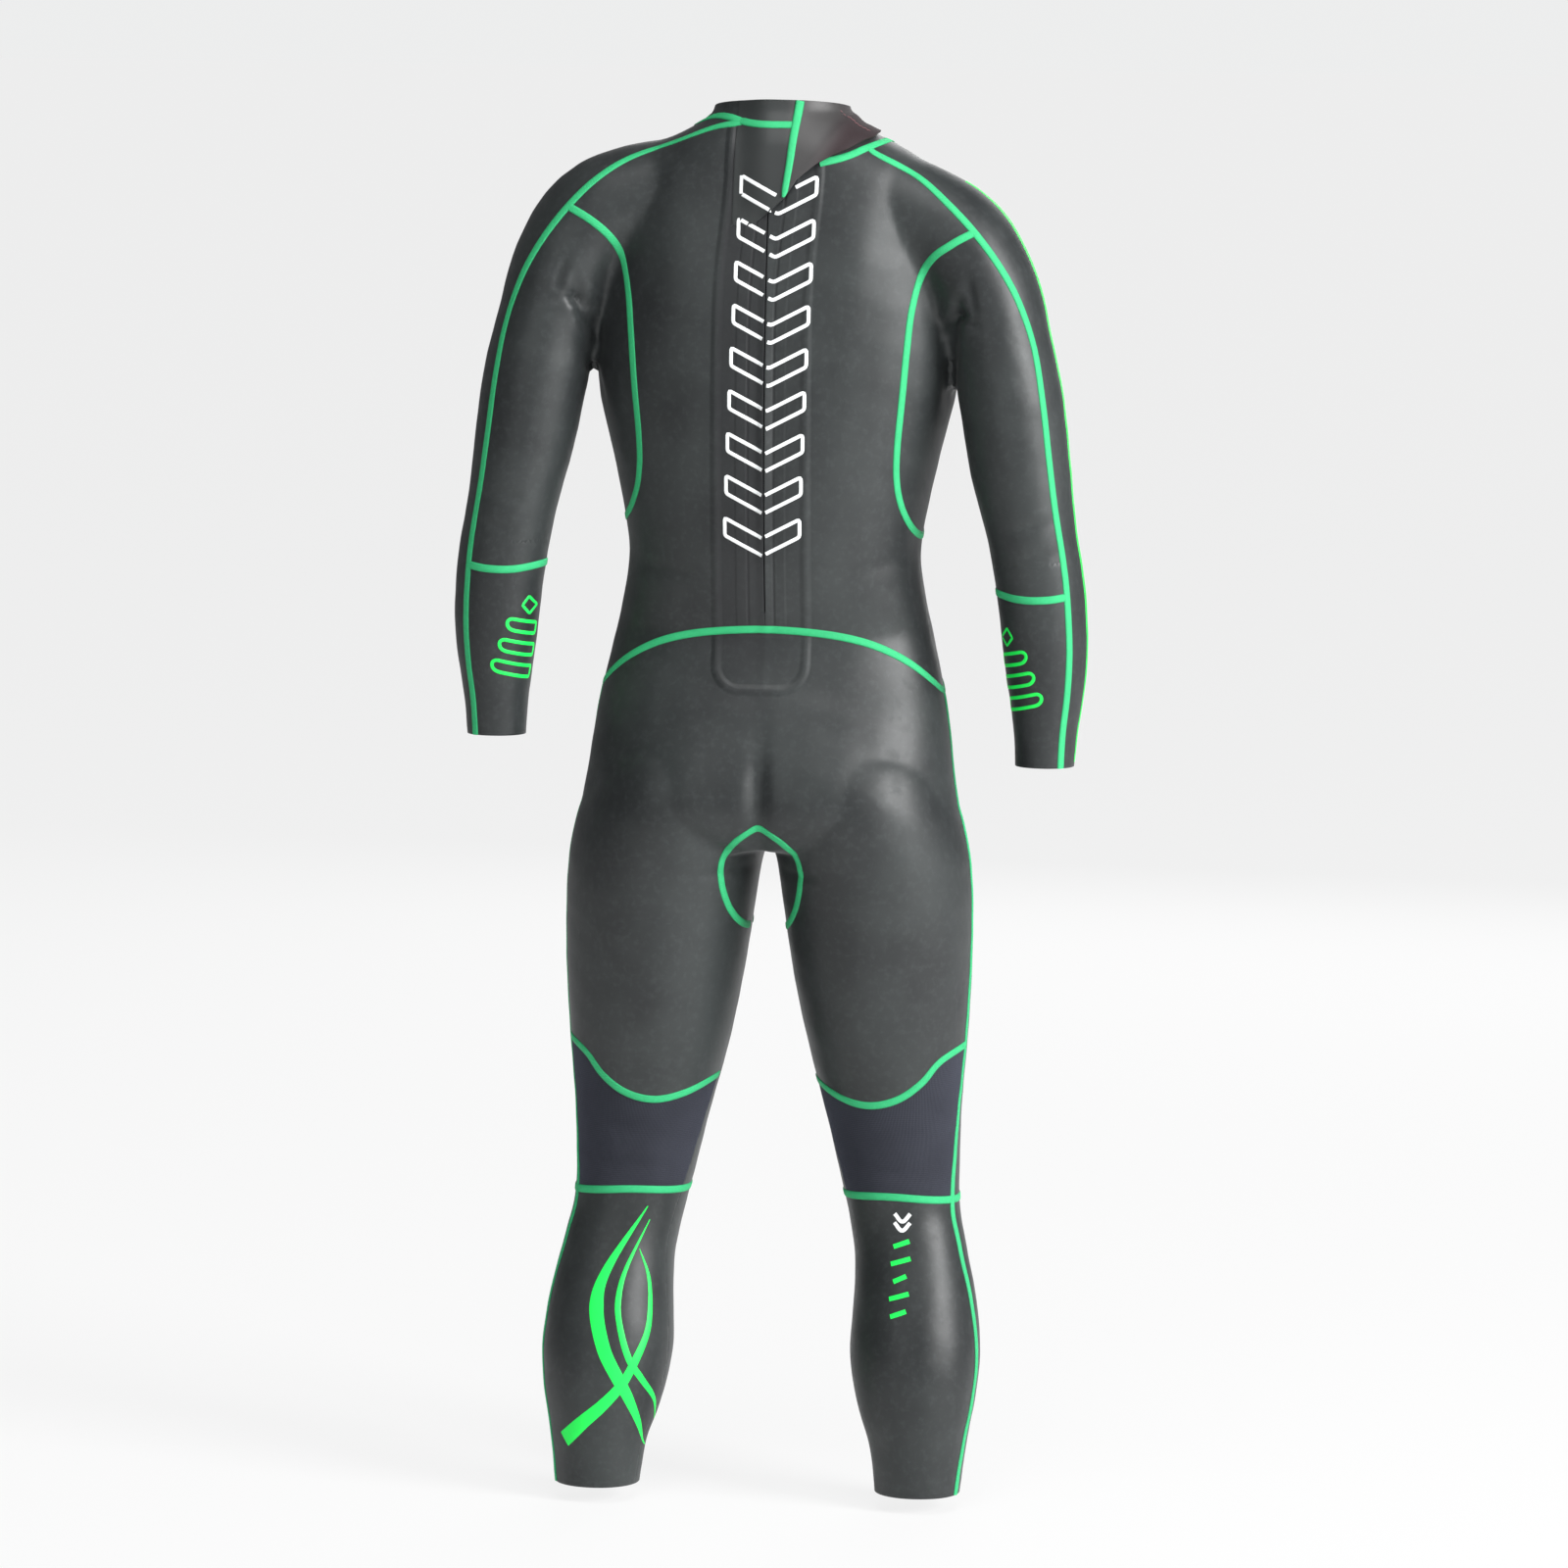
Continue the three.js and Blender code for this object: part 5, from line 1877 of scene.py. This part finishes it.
    def _stops(self) -> None:
        """Crimped metal stops at the chain's ends."""
        metal = PlatedMetal().make()
        for word, low, high in (("left", -3.3, -0.9), ("right", 0.9, 3.3)):
            stop = self._block(f"zip_top_stop_{word}_crimp", (low, 4.4, -1.05), (high, 7, 1.05), 0.45)
            self._seat(stop, self.top_z + 1.35)
            soften(stop)
            dress(stop, "suit", "zip_metal", metal)
            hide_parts(f"zip_top_stop_{word}")
        foot = self._block("zip_bottom_stop_crimp", (-3.3, 4.4, -2.35), (3.3, 7, 2.35), 0.6)
        self._seat(foot, self.bottom_z - 2.65)
        soften(foot)
        dress(foot, "suit", "zip_metal", metal)
        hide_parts("zip_bottom_stop")

    def _backing(self) -> None:
        """The jersey flap between the zip and the wearer's skin."""
        outline = np.array(self.backing, float) * MM
        skin = self.panels.whole.copy()
        skin.along("backing", np.vstack([outline, outline[:1]]), lambda p: p[:, 1] < -0.01)
        middle = skin.points[skin.faces].mean(1)
        patch = skin.patch(inside(outline, middle[:, [0, 2]]) & (middle[:, 1] < -0.03))
        points, _, _ = patch
        wave = 0.5 * np.sin(points[:, 2] / 0.021) * np.sin(points[:, 0] / 0.017)
        low, high = (wave - 11.9) * MM, (wave - 10.0) * MM
        piece = closed_shell("zip_backing_cloth", patch, low, high, points[:, [0, 2]])
        round_rims(piece, 0.4)
        outward(piece)
        soften(piece, 45)
        dress(piece, "suit", "stretch_jersey", Jersey(name="backing_jersey").make())
        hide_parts("zip_backing_flap")

    def _slider(self) -> None:
        """The slider: two flared plates, side flanges, a wedge and a bridge for the tab."""
        parts = []
        for name, shallow, deep in (("front", 2.9, 3.9), ("back", 7.4, 8.4)):
            plate = self._block(name, (-6.5, shallow, -9), (6.5, deep, 9), 0)
            only(plate)
            bpy.ops.object.mode_set(mode="EDIT")
            bpy.ops.mesh.select_all(action="SELECT")
            bpy.ops.mesh.subdivide(number_cuts=3)
            bpy.ops.object.mode_set(mode="OBJECT")
            for vertex in plate.data.vertices:
                along = vertex.co.z / MM
                vertex.co.x *= 0.8 + 0.2 * float(smoothstep(np.array(along), -6, 4))
                if abs(along) > 8.9:
                    vertex.co.x *= 0.82
            round_rims(plate, 0.35, 2, 0.6)
            parts.append(plate)
        for s in (-1, 1):
            x0, x1 = sorted((s * 5.3, s * 6.4))
            parts.append(self._block("flange", (x0, 3.3, -1), (x1, 5.9, 8.4), 0.3))
            x0, x1 = sorted((s * 4.1, s * 5.2))
            parts.append(self._block("flange", (x0, 3.3, -8.6), (x1, 5.9, -1.4), 0.3))
        parts.append(self._block("wedge", (-0.55, 3.4, 3), (0.55, 7.8, 8), 0.15))
        parts.append(self._block("bridge", (-0.9, -2.8, -3), (0.9, -2.1, 3), 0.25))
        parts.append(self._block("bridge", (-0.9, -2.5, 2.1), (0.9, 3.3, 3), 0.25))
        parts.append(self._block("bridge", (-0.9, -2.5, -3), (0.9, 3.3, -2.1), 0.25))
        slider = merged("zip_slider_cast", parts)
        self._seat(slider, self.rest_z)
        soften(slider)
        dress(slider, "zip_slider", "zip_metal", PlatedMetal(name="slider_metal").make())
        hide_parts("zip_slider")

    def _tab(self) -> None:
        """The pull tab: a round-ended plate with a sunk face, a leash hole and two prongs on a pin."""
        plate = self._block("plate", (-4.5, -2.1, 4), (4.5, -0.9, 32), 0)
        only(plate)
        bpy.ops.object.mode_set(mode="EDIT")
        bpy.ops.mesh.select_mode(type="EDGE")
        bpy.ops.mesh.select_all(action="DESELECT")
        mesh = bmesh.from_edit_mesh(plate.data)
        for edge in mesh.edges:
            a, b = edge.verts
            edge.select_set(abs(a.co.y - b.co.y) > 0.5 * MM and a.co.z > 31 * MM)
        bmesh.update_edit_mesh(plate.data)
        bpy.ops.mesh.bevel(offset=4.2 * MM, segments=8, affect="EDGES")
        bpy.ops.mesh.select_all(action="DESELECT")
        bpy.ops.mesh.select_mode(type="FACE")
        mesh = bmesh.from_edit_mesh(plate.data)
        for face in mesh.faces:
            face.select_set(face.normal.y < -0.9)
        bmesh.update_edit_mesh(plate.data)
        bpy.ops.mesh.inset(thickness=0.9 * MM)
        bpy.ops.transform.translate(value=(0, 0.3 * MM, 0))
        bpy.ops.object.mode_set(mode="OBJECT")
        drill = mesh_disc("drill", 1.5 * MM, 27.5 * MM)
        apply_modifier(plate, "BOOLEAN", operation="DIFFERENCE", object=drill, solver="EXACT")
        bpy.data.objects.remove(drill, do_unlink=True)
        parts = [plate]
        for s in (-1, 1):
            x0, x1 = sorted((s * 1.2, s * 3.5))
            parts.append(self._block("prong", (x0, -2.1, -1), (x1, -0.9, 5), 0.3))
        bpy.ops.object.select_all(action="DESELECT")
        lying = {"location": (0, -1.5 * MM, 0), "rotation": (0, math.pi / 2, 0)}
        bpy.ops.mesh.primitive_cylinder_add(vertices=16, radius=0.55 * MM, depth=6 * MM, **lying)
        pin = bpy.context.object
        bpy.ops.object.transform_apply(location=True, rotation=True, scale=True)
        round_rims(pin, 0.15, 2, 0.6)
        parts.append(pin)
        tab = merged("zip_pull_tab_plate", parts)
        round_rims(tab, 0.12, 1, 0.9)
        self._seat(tab, self.rest_z)
        soften(tab)
        dress(tab, "pull_tab", "zip_metal", PlatedMetal(name="tab_metal", tone=rgb(150, 152, 154)).make())
        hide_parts("zip_pull_tab")


def mesh_disc(name: str, radius: float, along: float) -> Piece:
    """A drill through a tab's plate, at a distance along it."""
    bpy.ops.object.select_all(action="DESELECT")
    bpy.ops.mesh.primitive_cylinder_add(
        vertices=24, radius=radius, depth=8 * MM, location=(0, -1.5 * MM, along), rotation=(math.pi / 2, 0, 0)
    )
    drill = bpy.context.object
    drill.name = name
    bpy.ops.object.transform_apply(location=True, rotation=True, scale=True)
    return drill


# ---------------------------------------------------------------- prints
@dataclass(frozen=True)
class Stroke:
    """A printed line: its course in X and Z and its widths, in mm."""

    course: tuple
    widths: tuple


@dataclass
class Prints:
    """Plain decorative prints: chevrons down the zip, swept stripes and dashes."""

    panels: Panels
    flap: CollarFlap
    proud: float = 0.28
    lift: float = 0.06
    chevrons: int = 9
    chevron_top: float = -66
    chevron_pitch: float = 43
    chevron: tuple = ((-38, 0), (0, -20), (38, 0), (38, -18), (0, -38), (-38, -18))
    sleeve: tuple = (
        (182, -22, -60), (214, -26, -100), (262, -32, -160), (290, -40, -240), (300, -46, -330),
        (318, -48, -430), (324, -44, -520), (318, -38, -600), (308, -34, -655),
    )
    calf: tuple = (
        Stroke(
            (
                (-117, -1123), (-155, -1185), (-164, -1221), (-155, -1262), (-140, -1293), (-129, -1315),
                (-120, -1342), (-117, -1370),
            ),
            (1, 9, 15, 14, 13, 11, 7, 1),
        ),
        Stroke(
            (
                (-115, -1137), (-136, -1185), (-142, -1216), (-139, -1241), (-129, -1274), (-117, -1295),
                (-107, -1315), (-106, -1331), (-110, -1351),
            ),
            (0.8, 4, 6, 6, 7, 7, 6, 4, 0.8),
        ),
        Stroke(
            (
                (-124, -1166), (-114, -1194), (-111, -1226), (-113, -1251), (-124, -1279), (-136, -1301),
                (-155, -1322), (-175, -1340), (-195, -1360),
            ),
            (0.8, 4, 6, 7, 9, 10, 12, 14, 17),
        ),
    )

    def build(self) -> None:
        """Lays every print."""
        bright = PrintInk("print_green", rgb(10, 234, 80), rgb(10, 176, 66)).make()
        white = PrintInk("print_white", rgb(222, 225, 225), rgb(160, 164, 164)).make()
        self._chevrons(white)
        self._stripes(bright)
        self._forearms(bright)
        self._dashes(bright, white)
        self._arm_lines(bright)

    def _band(self, flat: Array, width: float, smooth: int, tree: Optional[BVHTree] = None) -> Piece:
        """One printed band over a course in metres."""
        tree = tree or self.panels.tree
        seat, proud, lift = drop_on(tree, flat), self.proud * MM, self.lift * MM
        return ribbon("band", seat, tree, width, proud, 2 * MM, lift, smooth)

    def _finish(self, name: str, bands: list, ink: Material) -> None:
        """Joins bands into one print."""
        dress(merged(name, bands), "suit", "smoothskin", ink)

    def _closed(self, corners: Sequence[tuple]) -> Array:
        """A closed outline in fine steps, in mm."""
        ring = np.array([*corners, corners[0]], float)
        run = np.concatenate([[0], np.cumsum(np.linalg.norm(np.diff(ring, axis=0), axis=1))])
        marks = np.linspace(0, run[-1], max(int(run[-1] / 1.5), 12))
        return np.column_stack([np.interp(marks, run, ring[:, k]) for k in range(2)])

    def _chevrons(self, ink: Material) -> None:
        """Outlined chevrons down both sides of the zip."""
        cover = np.array(self.flap.outline, float)
        margin = cover + (0, -4)
        seam = np.array(self.flap.seam, float)
        fixed, turning = [], []
        for number in range(self.chevrons):
            top = self.chevron_top - number * self.chevron_pitch
            middle = 10 - 12 * number / 8
            ring = self._closed([(middle + u, top + v) for u, v in self.chevron])[:-1]
            under, near = inside(cover, ring), inside(margin, ring)
            kind = np.where(np.abs(ring[:, 0]) > 1.6, 1, 0)
            kind[near & (ring[:, 0] > -4)] = 0
            tape = np.interp(ring[:, 1], seam[:, 1], seam[:, 0])
            under &= ring[:, 0] > -27
            kind[under] = np.where(ring[under, 0] < tape[under] - 7, 2, 0)
            change = np.nonzero(kind != np.roll(kind, 1))[0]
            start = int(change[0]) if len(change) else 0
            order = np.roll(np.arange(len(ring)), -start)
            for run in np.split(order, np.nonzero(np.diff(kind[order]))[0] + 1):
                if kind[run[0]] and len(run) > 5:
                    band = self._band(ring[run] * MM, 3.7 * MM, 1, self.flap.over)
                    (fixed if kind[run[0]] == 1 else turning).append(band)
        self._finish("back_chevron_print", fixed, ink)
        if turning:
            piece = merged("flap_chevron_print", turning)
            dress(piece, "", "smoothskin", ink)
            self.flap.bend(piece)

    def _stripes(self, ink: Material) -> None:
        """Swept stripes that cross on the left calf."""
        bands = []
        for number, stroke in enumerate(self.calf):
            course = spline(stroke.course, 8) * MM
            seat = drop_on(self.panels.tree, course)
            marks = np.linspace(0, len(stroke.widths) - 1, len(seat))
            widths = np.interp(marks, range(len(stroke.widths)), stroke.widths) * MM
            proud = (self.proud + 0.05 * number) * MM
            bands.append(ribbon("stripe", seat, self.panels.tree, widths, proud, 2 * MM, self.lift * MM, 2))
        self._finish("left_calf_stripe_print", bands, ink)

    def _forearms(self, ink: Material) -> None:
        """Three outlined capsules and a diamond on each forearm."""
        for side in Side:
            s = side.value
            shift = 0.0 if side is Side.LEFT else 22.0
            bands = []
            half = 6.0
            turns = np.linspace(math.pi / 2, 3 * math.pi / 2, 7)
            for long, x, z in ((30, 250, -528), (36, 255, -550), (42, 260, -572)):
                arc = [(math.cos(a) * half, math.sin(a) * half) for a in turns]
                reach = long / 2 - half
                loop = [(reach - u, v) for u, v in arc] + [(u - reach, -v) for u, v in arc]
                ring = self._closed([(s * (x + u), z + 0.25 * u + v - shift) for u, v in loop])
                bands.append(self._band(ring * MM, 3.6 * MM, 1))
            diamond = [(0, 9), (6, 0), (0, -9), (-6, 0)]
            ring = self._closed([(s * (244 + u), -506 + v - shift) for u, v in diamond])
            bands.append(self._band(ring * MM, 3.0 * MM, 0))
            self._finish(f"{side.word}_forearm_print", bands, ink)

    def _dashes(self, green: Material, white: Material) -> None:
        """A ladder of slanted dashes under a small chevron on the right calf."""
        bands = []
        for number, long in enumerate((16, 20, 13, 20, 16)):
            z = -1152 - number * 17.0
            course = np.array([(146 - long / 2, z - 3), (146, z), (146 + long / 2, z + 3)])
            bands.append(self._band(spline(course, 6) * MM, 5.0 * MM, 0))
        self._finish("right_calf_dash_print", bands, green)
        bands = []
        for drop in (0, 9):
            course = np.array([(138, -1122 - drop), (146, -1130 - drop), (154, -1122 - drop)])
            bands.append(self._band(spline(course, 6) * MM, 4.0 * MM, 0))
        self._finish("right_calf_chevron_print", bands, white)

    def _arm_lines(self, ink: Material) -> None:
        """Two thin lines down the outside of the right sleeve."""
        bands = []
        for shift in (0, 12):
            course = []
            for x, y, z in self.sleeve:
                beside = Vector(((x + 14) * MM, (y + shift) * MM, (z - 2) * MM))
                course.append(self.panels.tree.find_nearest(beside)[0])
            fine = spline(np.array(course), 10)
            tree, proud = self.panels.tree, self.proud * MM
            bands.append(ribbon("line", fine, tree, 2.6 * MM, proud, 3 * MM, self.lift * MM, 3))
        self._finish("right_sleeve_line_print", bands, ink)


# ---------------------------------------------------------------- studio
@dataclass
class Studio:
    """The floor, soft light and camera."""

    azimuth: float = 6.5
    elevation: float = 6.5
    roll: float = 0.7
    distance: float = 7.5
    lens: float = 168
    target: tuple[float, float, float] = (0.012, 0, -0.690)
    floor_z: float = -1.425
    floor_glow: float = 0.9

    def build(self) -> None:
        """Builds the stage."""
        self._floor()
        self._camera()
        self._lights()

    def _floor(self) -> None:
        """A wide pale floor."""
        bpy.ops.object.select_all(action="DESELECT")
        bpy.ops.mesh.primitive_plane_add(size=900, location=(0, 0, self.floor_z))
        floor = bpy.context.object
        floor.name = "studio_floor"
        graph = Graph("studio_floor")
        cloud = graph.noise(graph.place(), 0.7, 2, 0.5)
        colour = graph.mix(cloud, rgb(250, 250, 250), rgb(246, 246, 246))
        material = graph.finish(Base_Color=colour, Roughness=0.9)
        tree = material.node_tree
        glow = tree.nodes.new("ShaderNodeEmission")
        glow.inputs[0].default_value = (0.93, 0.93, 0.93, 1)
        output = tree.nodes["Material Output"].inputs[0]
        self._seen_as(tree, output.links[0].from_socket, glow.outputs[0], output, self.floor_glow)
        floor.data.materials.append(material)

    def _seen_as(
        self, tree: bpy.types.NodeTree, lights: Socket, seen: Socket, output: Socket, share: float
    ) -> None:
        """Shows the camera a share of another shade than the one that lights the suit."""
        kinds = ("LightPath", "Math", "MixShader")
        ray, part, mixer = (tree.nodes.new(f"ShaderNode{kind}") for kind in kinds)
        part.operation = "MULTIPLY"
        part.inputs[1].default_value = share
        tree.links.new(ray.outputs["Is Camera Ray"], part.inputs[0])
        tree.links.new(part.outputs[0], mixer.inputs[0])
        tree.links.new(lights, mixer.inputs[1])
        tree.links.new(seen, mixer.inputs[2])
        tree.links.new(mixer.outputs[0], output)

    def _camera(self) -> None:
        """The camera, behind the suit."""
        azimuth, elevation = math.radians(self.azimuth), math.radians(self.elevation)
        level = math.cos(elevation)
        back = Vector((math.sin(azimuth) * level, -math.cos(azimuth) * level, math.sin(elevation)))
        data = bpy.data.cameras.new("camera")
        data.lens = self.lens
        data.sensor_width = 36
        data.clip_end = 100
        camera = bpy.data.objects.new("camera", data)
        bpy.context.scene.collection.objects.link(camera)
        camera.location = Vector(self.target) + back * self.distance
        camera.rotation_euler = (-back).to_track_quat("-Z", "Y").to_euler()
        camera.rotation_euler.rotate_axis("Z", math.radians(self.roll))
        bpy.context.scene.camera = camera

    def _area(self, name: str, place: Sequence[float], size: float, power: float) -> None:
        """A square soft light that faces the suit."""
        data = bpy.data.lights.new(name, "AREA")
        data.shape = "SQUARE"
        data.size = size
        data.energy = power
        lamp = bpy.data.objects.new(name, data)
        bpy.context.scene.collection.objects.link(lamp)
        lamp.location = place
        lamp.rotation_euler = (Vector(self.target) - Vector(place)).to_track_quat("-Z", "Y").to_euler()

    def _lights(self) -> None:
        """A big soft key from the right, a fill, and a pale world."""
        self._area("key", (4.9, -2.5, 1.7), 2.4, 640)
        self._area("fill", (-1.6, -5.2, 1.2), 3.0, 50)
        self._area("top", (0.4, -1.6, 3.2), 2.4, 115)
        self._area("front", (0.5, 4.5, 0.8), 3.0, 90)
        world = bpy.data.worlds.new("studio")
        bpy.context.scene.world = world
        world.use_nodes = True
        tree = world.node_tree
        sky = tree.nodes["Background"]
        sky.inputs[0].default_value = (0.94, 0.97, 1.0, 1)
        sky.inputs[1].default_value = 0.13
        seen = tree.nodes.new("ShaderNodeBackground")
        seen.inputs[0].default_value = (0.845, 0.85, 0.85, 1)
        seen.inputs[1].default_value = 1.0
        self._seen_as(tree, sky.outputs[0], seen.outputs[0], tree.nodes["World Output"].inputs[0], 1.0)
        bpy.context.scene.view_settings.view_transform = "Standard"


def main() -> None:
    """Builds the suit, then its stage."""
    logging.basicConfig(level=logging.INFO, format="%(name)s: %(message)s")
    Studio().build()
    panels = Panels()
    panels.build()
    SeamTapes(panels).build()
    flap = CollarFlap(panels)
    flap.build()
    ZipFastener(panels).build()
    Prints(panels, flap).build()


if __name__ == "__main__":
    main()
